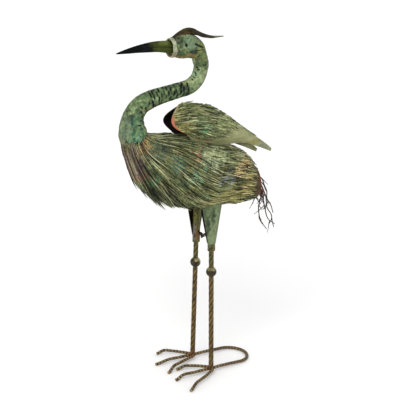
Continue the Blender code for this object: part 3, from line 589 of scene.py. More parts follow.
def vector(tree, way, first, second):
    return add_node(tree, "ShaderNodeVectorMath", {0: first, 1: second}, operation=way).outputs[0]


def product(tree, first, second):
    made = add_node(tree, "ShaderNodeMath", {0: first, 1: second}, operation="MULTIPLY", use_clamp=True)
    return made.outputs[0]


def attribute(tree, word, output="Fac"):
    return add_node(tree, "ShaderNodeAttribute", attribute_name=word).outputs[output]


def shifted(tree, place, colour, reach):
    """The place moved by a colour around mid grey, as far as the reach in metres."""
    away = vector(tree, "SUBTRACT", colour, (0.5, 0.5, 0.5))
    return vector(tree, "ADD", place, vector(tree, "MULTIPLY", away, (reach, reach, reach)))


def patina(name, tones, coarse_mm, stretch=(1, 1, 1), grain_mm=3, grain=0.3, speck=None,
           speck_amount=0.36, patches=(), bump_mm=0.25, roughness=0.6, metallic=0.25, marks=(), pale=None,
           wander_mm=30):
    """A patina on metal: clouds of several tones, a fine grain, specks, and patches where they really are.

    A patch is its colour, its centre, its half sizes and its strength. A mark is an attribute, with the
    colour that it brings and its strength. With a pale tone it is a finish for strips: each strip has its
    own brightness and its own cut of the pattern, and the brightest get pale worn edges."""
    finish = bpy.data.materials.new(name)
    finish.use_nodes = True
    tree = finish.node_tree
    shader = tree.nodes["Principled BSDF"]
    place = add_node(tree, "ShaderNodeTexCoord").outputs["Object"]
    if pale:
        place = shifted(tree, place, attribute(tree, "tone", "Color"), STRIP_SHIFT)
    stretched = add_node(tree, "ShaderNodeMapping", {"Vector": place, "Scale": stretch}).outputs[0]
    warped = shifted(tree, place, noise(tree, place, WANDER_SCALE, 3.0)["Color"], wander_mm / 1000)

    clouds = noise(tree, stretched, 1000 / coarse_mm, 5.0, 0.62)["Fac"]
    ramp = add_node(tree, "ShaderNodeValToRGB", {"Fac": clouds})
    band = ramp.color_ramp
    while len(band.elements) < len(tones):
        band.elements.new(0.5)
    for i, tone in enumerate(tones):
        band.elements[i].position = 0.36 + 0.28 * i / (len(tones) - 1)
        band.elements[i].color = linear(tone)
    colour = ramp.outputs["Color"]

    breaks = ranged(tree, clouds, 0.35, 0.55, 1.1, 0.55)
    for tone, centre, half, strength in patches:
        shares = vector(tree, "DIVIDE", vector(tree, "SUBTRACT", warped, centre), half)
        reach = add_node(tree, "ShaderNodeVectorMath", {0: shares}, operation="LENGTH").outputs["Value"]
        cover = ranged(tree, reach, 1.25, 0.55, 0.0, strength, "SMOOTHSTEP")
        colour = mixed(tree, product(tree, cover, breaks), colour, linear(tone))
    for word, tone, strength in marks:
        colour = mixed(tree, product(tree, attribute(tree, word), strength), colour, linear(tone))

    fine = noise(tree, stretched, 1000 / grain_mm, 4.0, 0.65)["Fac"]
    shade = ranged(tree, fine, 0.3, 0.7, 1.0 - grain, 1.0 + grain)
    colour = mixed(tree, 1.0, colour, shade, "MULTIPLY")
    if speck:
        spots = noise(tree, stretched, 600 / grain_mm, 2.0)["Fac"]
        few = ranged(tree, spots, speck_amount, speck_amount - 0.08, 0.0, 0.9)
        colour = mixed(tree, few, colour, linear(speck))
    if pale:
        tone = attribute(tree, "tone")
        colour = mixed(tree, 1.0, colour, ranged(tree, tone, 0.0, 1.0, *STRIP_BRIGHTNESS), "MULTIPLY")
        colour = mixed(tree, ranged(tree, tone, 0.8, 0.95, 0.0, 0.75), colour, linear(pale))

    height = add_node(tree, "ShaderNodeMath", {0: fine, 1: clouds}, operation="ADD").outputs[0]
    bump = add_node(tree, "ShaderNodeBump", {"Height": height, "Strength": 0.6, "Distance": bump_mm / 1000})
    tree.links.new(colour, shader.inputs["Base Color"])
    tree.links.new(bump.outputs[0], shader.inputs["Normal"])
    gloss = ranged(tree, clouds, 0.3, 0.7, roughness - 0.12, roughness + 0.12)
    tree.links.new(gloss, shader.inputs["Roughness"])
    shader.inputs["Metallic"].default_value = metallic
    shader.inputs["Specular IOR Level"].default_value = DULL_SPECULAR
    return finish


# Weathered copper-green patina on hammered sheet: chalky, with turquoise salts and warm bare spots, and
# near black chisel marks. Its grain of 6 mm is drawn coarser than the real one, so that it shows.
NECK_PATINA = patina(
    "green_patina_on_hammered_sheet", ("2A392B", "4C5D3F", "677950", "8E9C72"), coarse_mm=14, grain_mm=6,
    grain=0.55, speck="1C281C", speck_amount=0.37, marks=(("dent", "070D08", 2.0),),
    patches=(
        ("627A52", (-0.115, -0.02, 0.706), (0.055, 0.06, 0.022), 0.7),
        ("72816A", (-0.205, -0.02, 0.64), (0.016, 0.05, 0.06), 0.6),
        ("3C7259", (-0.18, -0.036, 0.645), (0.018, 0.05, 0.034), 0.6),
        ("4C8268", (-0.17, -0.036, 0.622), (0.034, 0.06, 0.01), 0.7),
        ("1F2E22", (-0.172, -0.036, 0.632), (0.005, 0.05, 0.012), 0.6),
        ("22352A", (-0.19, -0.036, 0.668), (0.005, 0.05, 0.036), 0.7),
        ("AEBA9E", (-0.216, -0.02, 0.655), (0.006, 0.05, 0.04), 0.6),
        ("7C6C50", (-0.21, -0.026, 0.604), (0.012, 0.06, 0.02), 0.9),
        ("5E4E2A", (-0.12, -0.01, 0.686), (0.044, 0.05, 0.008), 0.85),
        ("4F9077", (-0.018, -0.02, 0.746), (0.014, 0.05, 0.01), 0.8),
        ("7C7A3A", (-0.04, -0.02, 0.735), (0.012, 0.05, 0.012), 0.7),
        ("A08468", (-0.024, -0.01, 0.772), (0.006, 0.05, 0.022), 0.85),
        ("76803F", (-0.004, -0.02, 0.792), (0.016, 0.05, 0.018), 0.6),
        ("606A42", (0.004, -0.02, 0.776), (0.018, 0.05, 0.04), 0.6),
        ("A3B082", (-0.022, -0.02, 0.738), (0.034, 0.05, 0.022), 0.7)))
# The same on the beaten head, with a blue spot and a dark cheek by the face, and dark eyes and cuts
HEAD_PATINA = patina(
    "green_patina_on_beaten_sheet", ("233023", "43543A", "66764F", "909A6C"), coarse_mm=12, grain_mm=5,
    grain=0.5, speck="1A241A", speck_amount=0.37, marks=(("mark", "060A07", 1.6),),
    patches=(
        ("7E9578", (-0.04, -0.02, 0.822), (0.022, 0.06, 0.016), 0.7),
        ("1C241D", (-0.068, -0.02, 0.832), (0.013, 0.06, 0.01), 1.2),
        ("2B3829", (-0.066, -0.02, 0.814), (0.01, 0.06, 0.014), 0.6),
        ("2F7396", (-0.077, -0.02, 0.811), (0.0032, 0.06, 0.0032), 1.6),
        ("8C6F34", (-0.04, -0.02, 0.79), (0.02, 0.06, 0.006), 1.0),
        ("7D5236", (-0.064, -0.02, 0.788), (0.01, 0.06, 0.005), 0.8),
        ("82883F", (-0.01, -0.02, 0.804), (0.014, 0.06, 0.012), 0.7)))
# The rolled edge is rubbed pale, which sets the face off from the dark beak
RIM_PATINA = patina(
    "pale_patina_on_rolled_edge", ("78846A", "9AA082", "B4B296"), coarse_mm=10, grain_mm=2, grain=0.2,
    speck="3A4232",
    patches=(
        ("8E7058", (-0.078, -0.02, 0.79), (0.018, 0.06, 0.01), 0.8),))
# Dark horn-coloured enamel, worn to olive near the face
BEAK_PATINA = patina(
    "slate_patina_on_folded_sheet", ("040606", "0C1010", "242C2C"), coarse_mm=12, stretch=(0.18, 1, 1),
    grain_mm=2, roughness=0.62, metallic=0.75, marks=(("groove", "11110E", 0.9),),
    patches=(
        ("4E5829", (-0.083, -0.01, 0.815), (0.044, 0.06, 0.06), 1.6),
        ("3B461E", (-0.098, -0.01, 0.806), (0.012, 0.06, 0.012), 0.6),
        ("7C8447", (-0.1, -0.01, 0.824), (0.016, 0.06, 0.006), 0.6)))
# Dark brown bronze with a soft sheen, greener where the sheet has been handled
CREST_PATINA = patina(
    "brown_patina_on_folded_leaf", ("1A160A", "2C2614", "46401F"), coarse_mm=14, stretch=(0.5, 1, 1),
    grain_mm=2, roughness=0.55, metallic=0.6, speck="241D14",
    patches=(
        ("868A66", (0.06, 0, 0.822), (0.026, 0.06, 0.02), 0.85),
        ("5C4A30", (-0.045, -0.02, 0.838), (0.014, 0.06, 0.006), 0.7)))

# The body's colours where they are: mauve and dark chest, orange by the collar, turquoise and blue on the
# flank, a pale middle, ochre and yellow behind, and rust around the open rear. Three patches are painted
# light: shade spots on the chest, the wing's shadow along the back and a highlight in the pale middle
BODY_PATCHES = (
    ("745F5C", (-0.192, -0.036, 0.568), (0.03, 0.2, 0.052), 1.0),
    ("A87670", (-0.174, -0.036, 0.532), (0.009, 0.2, 0.024), 0.85),
    # Dark green-grey on the chest, partly painted shade: the dark spots between the strips
    ("33423C", (-0.163, -0.056, 0.56), (0.014, 0.2, 0.028), 0.85),
    ("383C34", (-0.13, -0.036, 0.49), (0.036, 0.2, 0.024), 0.85),
    ("C88C54", (-0.163, -0.056, 0.612), (0.008, 0.2, 0.018), 0.85),
    ("26424A", (-0.129, -0.076, 0.594), (0.022, 0.2, 0.012), 0.95),
    # Painted shadow of the wing along the back below it
    ("1E261C", (-0.096, -0.06, 0.612), (0.046, 0.2, 0.011), 0.5),
    ("2E3A2C", (-0.085, -0.076, 0.54), (0.012, 0.2, 0.03), 0.55),
    ("3E9484", (-0.099, -0.081, 0.566), (0.016, 0.2, 0.012), 0.9),
    ("7CC4A0", (-0.049, -0.081, 0.523), (0.014, 0.2, 0.014), 0.85),
    ("E07A70", (-0.036, -0.076, 0.57), (0.008, 0.2, 0.005), 0.9),
    ("CEDAAA", (0.002, -0.076, 0.554), (0.042, 0.2, 0.018), 0.9),
    # Painted highlight: a whitish glint in the pale middle
    ("E4EBCB", (-0.001, -0.076, 0.554), (0.008, 0.2, 0.006), 0.85),
    ("E6CC94", (0.086, -0.056, 0.519), (0.034, 0.2, 0.015), 1.3),
    ("A0A6B0", (0.03, -0.071, 0.508), (0.022, 0.2, 0.009), 0.9),
    ("363B37", (-0.052, -0.076, 0.552), (0.014, 0.2, 0.009), 0.85),
    ("B8B070", (0.05, -0.06, 0.455), (0.066, 0.2, 0.032), 0.95),
    ("BEB070", (0.11, -0.04, 0.47), (0.036, 0.2, 0.04), 0.9),
    ("4FA07F", (-0.15, -0.06, 0.525), (0.01, 0.2, 0.016), 0.7),
    ("5A2E1E", (0.15, -0.026, 0.45), (0.019, 0.2, 0.044), 0.95),
)
# Strips cut from sheet and blued, greened and browned by heat and acid, with pale worn edges
STRIP_PATINA = patina(
    "mottled_patina_on_cut_strips", ("46553A", "6E7E55", "8F946A", "838452", "666242"), coarse_mm=22,
    grain_mm=2.5, speck="171D14", speck_amount=0.43, patches=BODY_PATCHES,
    pale="E6DFB8", bump_mm=0.15, roughness=0.58, metallic=0.3, wander_mm=60)
# Nearly black as painted shade between the strips and in the hollow of the open rear, so that each strip
# stands out, and rusty around the open rear
CORE_SHADE_AND_RUST = patina(
    "painted_shade_and_rust_under_strips", ("171A14", "24281D", "2E2C1F"), coarse_mm=20,
    patches=(
        ("6B3F2A", (0.15, 0, 0.455), (0.014, 0.2, 0.06), 0.95),))
# Strips of the wings, greener than the body's, with two dark bands that are painted shadows of rows of strip
# tips. The grain is drawn coarser.
WING_STRIP_PATINA = patina(
    "green_patina_on_wing_strips", ("52613D", "727F52", "8C9468", "858452"), coarse_mm=18, grain_mm=4,
    grain=0.5, speck="1D251B", speck_amount=0.45, pale="D4D6AA", bump_mm=0.12, wander_mm=50,
    patches=(
        ("B0A45C", (-0.07, 0, 0.64), (0.024, 0.2, 0.032), 0.7),
        ("62B08C", (-0.015, 0, 0.628), (0.014, 0.2, 0.011), 0.8),
        # The next two dark bands are painted shadows of rows of strip tips
        ("18201A", (0.022, 0, 0.652), (0.034, 0.2, 0.01), 1.0),
        ("1F2A20", (-0.05, 0, 0.655), (0.03, 0.2, 0.009), 0.9),
        ("AEB682", (0.062, 0, 0.605), (0.036, 0.2, 0.022), 0.7)))
# Smooth pale olive sheet, salmon on its bare front edge, almost black inside as painted shade in the cup,
# which fades at the lit rear tip, and dark reddish brown on the curled-in flange, the rim's colour darkened
# as painted shade under the lower edge
WING_PATINA = patina(
    "olive_patina_on_cupped_sheet", ("82865A", "92946A", "A0A276", "8A8656"), coarse_mm=26,
    stretch=(0.4, 1, 1), grain_mm=2.5, grain=0.14, speck="4E5338", speck_amount=0.33,
    marks=(("inside", "17120D", 1.0), ("edge", "B9624C", 0.9),
           ("flange", "5E3A2C", 1.0)),
    patches=(
        ("6C7268", (0.158, 0, 0.55), (0.026, 0.2, 0.016), 0.75),))
# Bar left to rust a little under olive patina, dark in the hollows of its twist
LEG_PATINA = patina(
    "olive_brown_patina_on_twisted_bar", ("4A3D1B", "67532F", "846C44", "584E28"), coarse_mm=16,
    grain=0.35, speck="1E180C", speck_amount=0.38, marks=(("hollow", "1A150A", 0.8),),
    patches=(
        ("5E6432", (0.006, 0, 0.35), (0.2, 0.2, 0.09), 0.8),
        ("7A4628", (0.004, 0, 0.012), (0.02, 0.2, 0.018), 0.8)))
# The same bar, paler and browner, with dark gaps between its ribs and rust where it meets the leg
TOE_PATINA = patina(
    "brown_patina_on_ribbed_bar", ("5A4A30", "83704C", "A68D66", "6B613E"), coarse_mm=10,
    grain=0.4, marks=(("hollow", "0D0A06", 0.98),),
    patches=(
        ("6E4A3C", (0.075, 0, 0.01), (0.05, 0.2, 0.02), 0.6),
        ("84492B", (0.004, 0.035, 0.012), (0.016, 0.014, 0.02), 0.8),
        ("84492B", (0.004, -0.048, 0.012), (0.016, 0.014, 0.02), 0.8)))
# Smooth dark bronze with a painted highlight on top, the only satin spot on the legs
BALL_PATINA = patina(
    "dark_bronze_ball", ("1D1A14", "332D20", "4A422E"), coarse_mm=9, grain_mm=2, grain=0.25, roughness=0.4,
    # The pale patch on top is a painted highlight
    metallic=0.4, patches=(("9A9468", (0.008, -0.006, 0.277), (0.05, 0.3, 0.007), 1.2),))
# Green like the neck, but smoother, with dark and pale streaks that run down the cone, and nearly black
# inside as painted shade in the cone's hollow
THIGH_PATINA = patina(
    "green_patina_on_rolled_cone", ("4A583E", "5F6D4D", "7B8965"), coarse_mm=26, stretch=(1, 1, 0.5),
    speck="1E271A", marks=(("inside", "211C14", 1.0),),
    patches=(
        ("1D261B", (-0.006, -0.05, 0.385), (0.0035, 0.05, 0.034), 1.1),
        ("2A3524", (0.006, -0.05, 0.405), (0.004, 0.05, 0.022), 0.9),
        ("8A9870", (0.014, -0.05, 0.395), (0.005, 0.05, 0.04), 0.7)))
# Dark olive tube with grey, rusty and pale stains, between the green cone and the brown bar
SLEEVE_PATINA = patina(
    "olive_patina_on_tube", ("3C3C20", "6E6D36", "5E5832"), coarse_mm=12, stretch=(1, 1, 0.5),
    grain=0.45, speck="1C1A0E", speck_amount=0.42,
    patches=(
        ("6B6470", (-0.002, 0.022, 0.345), (0.01, 0.02, 0.03), 0.9),
        ("70452E", (0.014, 0.018, 0.338), (0.01, 0.02, 0.018), 1.0),
        ("1E1C10", (0.004, -0.042, 0.332), (0.008, 0.02, 0.007), 0.9),
        ("8A9090", (-0.006, -0.048, 0.325), (0.008, 0.02, 0.012), 0.9)))
# Thin wire, nearly black, and rusty where it leaves the body
WIRE_PATINA = patina(
    "dark_rusted_wire", ("1C1610", "2B221A", "3E3022"), coarse_mm=8, grain_mm=1.5, grain=0.25, bump_mm=0.1,
    patches=(
        ("6A3620", (0.16, 0, 0.445), (0.02, 0.2, 0.03), 0.9),))


# The body


def body_core():
    """The closed shell under the strips, painted nearly black as shade where it shows between them, with its
    rusty rim and the hollow of the open rear.
    """
    angle = around(96)
    rings = [breast_skin(a, angle, -0.003) for a in np.linspace(-0.06, 0.98, 64)]
    course = body_course(np.array(1.0))
    push = np.array([course[0], 0.0, course[1]])
    # How far each ring of the rim and of the hollow lies off the skin, and how far it is pushed back
    for lift, run in ((-0.0005, 0.0), (-0.0005, 0.002), (-0.0035, 0.0022), (-0.0048, 0.0), (-0.005, -0.012),
                      (-0.0052, -0.029)):
        rings.append(body_skin(1.0, angle, lift) + push * run)
    finished(loft("body_shell", rings), CORE_SHADE_AND_RUST, ["body"], crease=60)


STRIP_ROWS = (
    # where the tips are along the body, the strips' length, and their spacing
    (0.1, 0.06, 0.0041), (0.18, 0.085, 0.0041), (0.26, 0.105, 0.0043), (0.34, 0.11, 0.0043),
    (0.42, 0.105, 0.0043), (0.5, 0.095, 0.0042), (0.58, 0.085, 0.0041), (0.66, 0.075, 0.004),
    (0.73, 0.065, 0.0039), (0.8, 0.058, 0.0038), (0.87, 0.05, 0.0037), (0.93, 0.045, 0.0036),
    (0.99, 0.04, 0.0036),
)


def strip_row(draw, tip, layer, length, spacing):
    """One row of strips, as columns: their places, runs, lifts, widths, tones, rolls and bends.

    The strips of a tuft share a shift, a tone, a turn and a lift. They calm down towards the rear, stand
    off under the breast, and lie close under the wings and beside the thighs."""
    reach = length / BODY_LENGTH
    half = float(curve_through(BODY_STATIONS, float(np.clip(tip - reach / 3, 0.05, 0.98)))[2])
    count = int(2 * pi * half * ROW_COVER / spacing)
    angle = 2 * pi * (np.arange(count) + draw.random() + 0.25 * draw.random(count)) / count
    tufts = max(FEWEST_TUFTS, count // STRIPS_IN_TUFT)
    place = angle / (2 * pi) * tufts + draw.random()
    tuft = place.astype(int) % tufts
    from_middle = ((place % 1.0) - 0.5) * 2 * pi / tufts
    calm = float(blend(0.6, 0.9, tip))
    tuft_shift = draw.normal(0, 1.0, tufts)[tuft] * (TUFT_SHIFT - TUFT_SHIFT_CALM * calm)
    tuft_tone = draw.normal(0, TUFT_TONE, tufts)[tuft]
    tuft_turn = draw.normal(0, TUFT_TURN, tufts)[tuft]
    tuft_lift = draw.uniform(0.2, 1.0, tufts)[tuft]

    back = wrapped(angle)
    turn, way = np.abs(back), np.sign(back)
    under = blend(1.9, 2.4, turn) * float(blend(0.14, 0.24, tip) - 0.9 * blend(0.44, 0.56, tip))
    end = tip + tuft_shift + draw.normal(0, STRIP_END, count) * (1 - 0.75 * under)
    start = np.maximum(end - reach * draw.uniform(0.8, 1.15, count), draw.uniform(-0.06, -0.03, count))
    near_legs = blend(1.7, 2.3, turn) * (blend(0.42, 0.52, end) - blend(0.7, 0.78, end))
    under_wing = (1 - blend(0.75, 1.0, turn)) * blend(0.3, 0.4, end) * (1 - blend(0.8, 0.86, end))
    crown = (1 - blend(0.5, 0.9, turn)) * float(blend(0.7, 0.8, tip))

    lift = TIP_LIFT + TIP_LIFT * draw.random(count)
    lift = lift * (1 - 0.45 * calm) * (1 - 0.7 * under_wing) * (1 - 0.6 * near_legs)
    lift = lift + under * (0.002 + BREAST_LIFT * tuft_lift) + crown * draw.uniform(0.0, CROWN_LIFT, count)
    width = draw.uniform(*STRIP_WIDTH_RANGE, count) * (1 - 0.12 * calm)
    # Strips of the lower layer are made darker as painted shade under the top layer, and strips under the
    # breast are made darker
    tone = 0.5 + tuft_tone + draw.normal(0, STRIP_TONE, count) - 0.08 * layer - 0.16 * under
    droop = 0.36 * (1 - float(blend(0.4, 0.72, tip))) - 0.06 * float(blend(0.75, 0.95, tip))
    drift = way * droop * np.sin(turn) * length / 0.1
    drift = drift - from_middle * (0.5 + 0.4 * under) * (1 - 0.4 * calm)
    drift = drift + tuft_turn + draw.normal(0, STRIP_TURN, count) * (1 - 0.4 * calm)
    root = np.full(count, -ROOT_SINK * (1 + 0.5 * layer))
    return (start, angle - 0.5 * drift, end - start, drift, root, lift, width, np.clip(tone, *BODY_TONES),
            draw.normal(0, STRIP_ROLL, count), draw.normal(0, STRIP_BEND, count))


def body_strips(draw):
    """Rows of long narrow strips from inside the collar to the open rear, drawn together in tufts."""
    regions = {"breast": [], "flank": [], "rear": []}
    for tip, length, spacing in STRIP_ROWS:
        region = "breast" if tip < 0.36 else "flank" if tip < 0.7 else "rear"
        for layer in (0, 1):
            regions[region].append(strip_row(draw, tip - LAYER_STEP * layer, layer, length, spacing))
    for region, rows in regions.items():
        start, angle, du, dv, root, tip, width, tone, roll, bend = map(np.concatenate, zip(*rows))
        mesh = strips_over("fringe_" + region, breast_skin, start, angle, du, dv, (root, tip), width, tone,
                           roll, STRIP_PATINA, BODY_RIDGE, bend=bend)
        finished(mesh, STRIP_PATINA, ["body"])


# Neck, head, beak and crest


def neck_dents(along, angle):
    """Short chisel marks across the neck, in columns, as a depth from 0 to 1."""
    draw = np.random.default_rng(12)
    marks = []
    for column in range(11):
        for row in range(8):
            marks.append((0.366 + 0.0225 * column, 2 * pi * (row + 0.5 * (column % 2)) / 8, 1.0, 0.0064))
    for side in (-1, 1):
        for column in range(6):
            marks.append((0.17 + 0.024 * column, side * (0.45 + 0.08 * (column % 2)), 1.0, 0.0036))
            marks.append((0.66 + 0.038 * column, side * radians(107), 0.8, 0.0032))
            marks.append((0.6 + 0.025 * column, side * radians(75 + 12 * (column % 3)), 0.7, 0.004))
    depth = np.zeros(np.broadcast(along, angle).shape)
    for place, turn, strength, reach in marks:
        place = place + draw.normal(0, 0.004)
        turn = turn + draw.normal(0, 0.12)
        strength = strength * draw.uniform(0.5, 1.1)
        away = wrapped(angle - turn)
        across = (along - place) * NECK_LENGTH + away * DENT_SLANT
        fade = (across / DENT_HALF_WIDTH) ** 2 + (away * NECK_RADIUS / reach) ** 4
        depth = np.maximum(depth, strength * np.exp(-fade))
    return depth


def neck_piece():
    """The hammered neck with its chisel marks, its ragged collar and the tongue down the breast."""
    angle = around(88)
    levels = np.linspace(0.0, 1.0, 310)
    edge = rim_reach(angle)
    marks = list(neck_dents(levels[:, None], angle[None, :]))
    rings = []
    for level, dent in zip(levels, marks):
        hammered = 0.0004 * np.sin(9 * angle + 60 * level) * np.sin(70 * level + 3 * angle)
        reach = edge * float(blend(0.88, 1.0, level))
        rings.append(neck_skin(level, angle, hammered - DENT_DEPTH * dent, reach=reach))
    # The collar's edge is folded in, and its end closed inside
    for share, reach in ((0.985, edge + 0.0003), (0.955, edge - 0.0012), (0.93, edge * 0.4 - 0.004),
                         (0.9, edge * 0 - 0.016)):
        rings.append(neck_skin(1.0, angle, 0.0, share, reach))
        marks.append(np.zeros(len(angle)))
    mesh = loft("neck_sheet", rings, marks={"dent": marks})
    finished(mesh, NECK_PATINA, ["neck"], crease=50)


def turned_points(lengths, radii, angle):
    """Rings of a turned form on the head's own axis, squeezed in width and sagging behind."""
    x = np.repeat(np.array(lengths)[:, None], len(angle), axis=1)
    y = np.array(radii)[:, None] * np.sin(angle) * HEAD_WIDTH_SHARE
    z = np.array(radii)[:, None] * np.cos(angle) - HEAD_SAG * np.maximum(0.0, x)
    return np.stack([x, y, z], axis=-1) + HEAD_CENTRE


def near_line(points, first, last, half_width):
    """How close points are to a line between two ends, seen from the side: 1 on it, fading to 0."""
    a, b = np.asarray(first), np.asarray(last)
    flat = points[..., (0, 2)]
    share = np.clip(((flat - a) @ (b - a)) / ((b - a) @ (b - a)), 0, 1)
    distance = np.linalg.norm(flat - a - share[..., None] * (b - a), axis=-1)
    return np.exp(-(distance / half_width) ** 2)


def head_piece():
    """The head with its dimpled eyes and its two cut lines."""
    angle = around(120)
    lengths, radii = curve_through(HEAD_PROFILE, np.linspace(0.02, 1.0, 80)).T
    rings = turned_points(lengths, radii, angle)
    outward = unit((rings - HEAD_CENTRE) * np.array([0.6, 1.0, 1.0]))
    from_eye = np.hypot((rings[..., 0] - EYE[0]) / EYE_HALF[0], (rings[..., 2] - EYE[1]) / EYE_HALF[1])
    eye = np.exp(-from_eye ** 4)
    slit = near_line(rings, (-0.0275, 0.8165), (-0.0035, 0.8045), 0.002)
    seam = near_line(rings, (-0.033, 0.8015), (0.002, 0.799), 0.0012)
    cut = np.maximum(slit, 0.7 * seam)
    rings = rings - outward * (EYE_DEPTH * eye + CUT_DEPTH * cut)[..., None]
    rings = np.concatenate([rings, turned_points([-0.0405, -0.04], [0.015, 0.009], angle)])
    mark = np.concatenate([np.maximum(eye, 0.9 * cut), np.zeros((2, len(angle)))])
    tip = turned_points([HEAD_PROFILE[0][0]], [0.0], angle)[0, 0]
    mesh = loft("head_sheet", rings, tips=(tip, None), marks={"mark": mark})
    finished(mesh, HEAD_PATINA, ["head"], crease=60)


def rim_piece():
    """The rolled edge around the face, a little uneven and thicker below."""
    turn = around(18)
    rings = []
    for a in around(120):
        below = 0.5 - 0.5 * cos(a)
        x = -0.0408 + (0.0052 + 0.0012 * below) * np.cos(turn) + 0.0006 * sin(5 * a)
        radius = 0.0196 + 0.0016 * below + 0.0022 * np.sin(turn) + 0.0006 * sin(7 * a + 1) * below
        ring = np.stack([x, radius * sin(a) * HEAD_WIDTH_SHARE, radius * cos(a)], axis=-1)
        rings.append(ring + HEAD_CENTRE)
    finished(loft("face_rim", rings, ends="joined"), RIM_PATINA, ["head"], crease=70)


def beak_piece():
    """The tapered beak, with a groove where its halves meet and a shorter one along the upper half."""
    angle = around(48)
    side = np.abs(np.sin(angle) - 0.06)
    upper = np.abs(np.sin(angle) - 0.55)
    rings, grooves = [], []
    for share in np.linspace(0, 1, 90):
        length, rise, half = curve_through(BEAK_STATIONS, np.array(share))
        line = 0.6 * np.exp(-(upper / 0.06) ** 2) * blend(0.35, 0.5, share)
        groove = np.maximum(np.exp(-(side / 0.07) ** 2), line) * blend(0.03, 0.1, share)
        radius = half - BEAK_GROOVE * groove * (half / BEAK_STATIONS[0][2])
        rings.append(HEAD_CENTRE + np.stack([np.full_like(angle, FACE_RIM_FRONT - length),
                                             np.cos(angle) * radius * BEAK_WIDTH_SHARE,
                                             rise + np.sin(angle) * radius], axis=-1))
        grooves.append(groove)
    mesh = loft("beak_sheet", rings, marks={"groove": grooves})
    finished(mesh, BEAK_PATINA, ["beak"], crease=40)


def crest_piece():
    """A folded leaf of sheet, thin at its edges, with a fold along its ridge."""
    rings = []
    out = np.linspace(-1, 1, 17)
    for share in np.linspace(0, 1, 70):
        back, ridge, half, droop = curve_through(CREST_STATIONS, np.array(share))
        droop *= 1.6 - 0.6 * float(blend(0.25, 0.55, share))
        top = np.stack([np.full_like(out, back), out * half, ridge - droop * np.abs(out) ** 1.5], axis=-1)
        under = top[::-1] - np.array([0, 0, min(CREST_SHEET, half * 0.8)])
        rings.append(np.concatenate([top, under]) + HEAD_CENTRE)
    finished(loft("crest_leaf", rings), CREST_PATINA, ["crest"], crease=45)


# Wings


def wing_sheet(side, word, skin):
    """A cupped sheet with painted shade in its hollow, a bare front edge and a flange along its lower edge
    in the rim's reddish brown, darkened as painted shade.
    """
    shares = np.concatenate([np.linspace(0, 1, 44), np.linspace(1.03, 1.25, 8)])
    none = np.zeros(len(shares))
    rings, marks = [], {"inside": [], "edge": [], "flange": []}
    for level in np.linspace(0, 1, 110):
        rings.append(np.concatenate([skin(level, shares), skin(level, shares, -WING_SHEET)[::-1]]))
        # The inside is painted dark as shade in the cup, less so towards the rear tip, which the light
        # reaches
        hidden = 1 - 0.85 * float(blend(0.7, 0.92, level))
        front = np.exp(-(level / 0.028) ** 4) * (0.15 + 0.85 * blend(0.22, 0.45, shares))
        front = front * (1.0 if side < 0 else 0.2)
        # The flange's reddish brown is darkened as painted shade under the lower edge, along the front of
        # the wing
        lower = np.exp(-((shares - 1.05) / 0.05) ** 2)
        lower = lower * blend(0.02, 0.08, level) * (1 - blend(0.3, 0.45, level))
        marks["inside"].append(np.concatenate([none, none + hidden]))
        marks["edge"].append(np.concatenate([front, none]))
        marks["flange"].append(np.concatenate([lower, none]))
    mesh = loft("wing_sheet_" + word, rings, ends="halves", marks=marks)
    finished(mesh, WING_PATINA, ["wing_" + word], crease=40)


def wing_strips(side, word, skin, draw):
    """Short strips over the front of a wing, in rows across it, and a row along its top edge."""
    columns = []
    for tip in np.linspace(0.075, 0.66, WING_ROWS):
        breadth = np.interp(tip, [0, 0.3, 0.7, 1.0], [0.095, 0.092, 0.05, 0.008])
        count = int(breadth / WING_STRIP_SPACING)
        across = 0.015 + 0.985 * (np.arange(count) + draw.random(count) * 0.5) / count
        length = draw.uniform(*WING_STRIP_LENGTH, count)
        end = tip + draw.normal(0, 0.01, count)
        keep = end < np.interp(across, [0, 0.35, 1.0], [0.7, 0.6, 0.5]) + draw.normal(0, 0.02, count)
        start = np.maximum(end - length, 0.02)
        fan = (across - 0.42) * 0.1 * (1 - tip) + draw.normal(0, 0.014, count)
        tone = np.clip(0.5 + draw.normal(0, 0.27, count), 0.02, 1.0)
        columns.append(np.stack([start, across, end - start, fan, np.full(count, -0.0002),
                                 draw.uniform(0.0012, 0.003, count), draw.uniform(*WING_STRIP_WIDTH, count),
                                 tone, draw.normal(0, 0.6, count)])[:, keep])
    count = TOP_EDGE_STRIPS
    columns.append(np.stack([np.linspace(0.28, 0.72, count), np.full(count, 0.05),
                             draw.uniform(0.05, 0.075, count), draw.uniform(-0.11, -0.07, count),
                             np.zeros(count), draw.uniform(0.0004, 0.0012, count),
                             draw.uniform(0.0026, 0.0034, count),
                             np.clip(draw.normal(0.35, 0.15, count), 0, 1), draw.normal(0, 0.2, count)]))
    start, across, du, dv, root, tip, width, tone, roll = np.concatenate(columns, axis=1)
    mesh = strips_over("wing_strips_" + word, skin, start, across, du, dv, (root, tip), width, tone, roll,
                       WING_STRIP_PATINA, WING_RIDGE, side=side)
    finished(mesh, WING_STRIP_PATINA, ["wing_" + word])


# Legs and feet


def ring_on_leg(side, height, across, along, turn):
    """A level ring around a leg's line, with its two half sizes."""
    ring = np.stack([along * np.cos(turn), across * np.sin(turn), 0 * turn], axis=-1)
    return leg_point(side, height) + SHIFT + ring


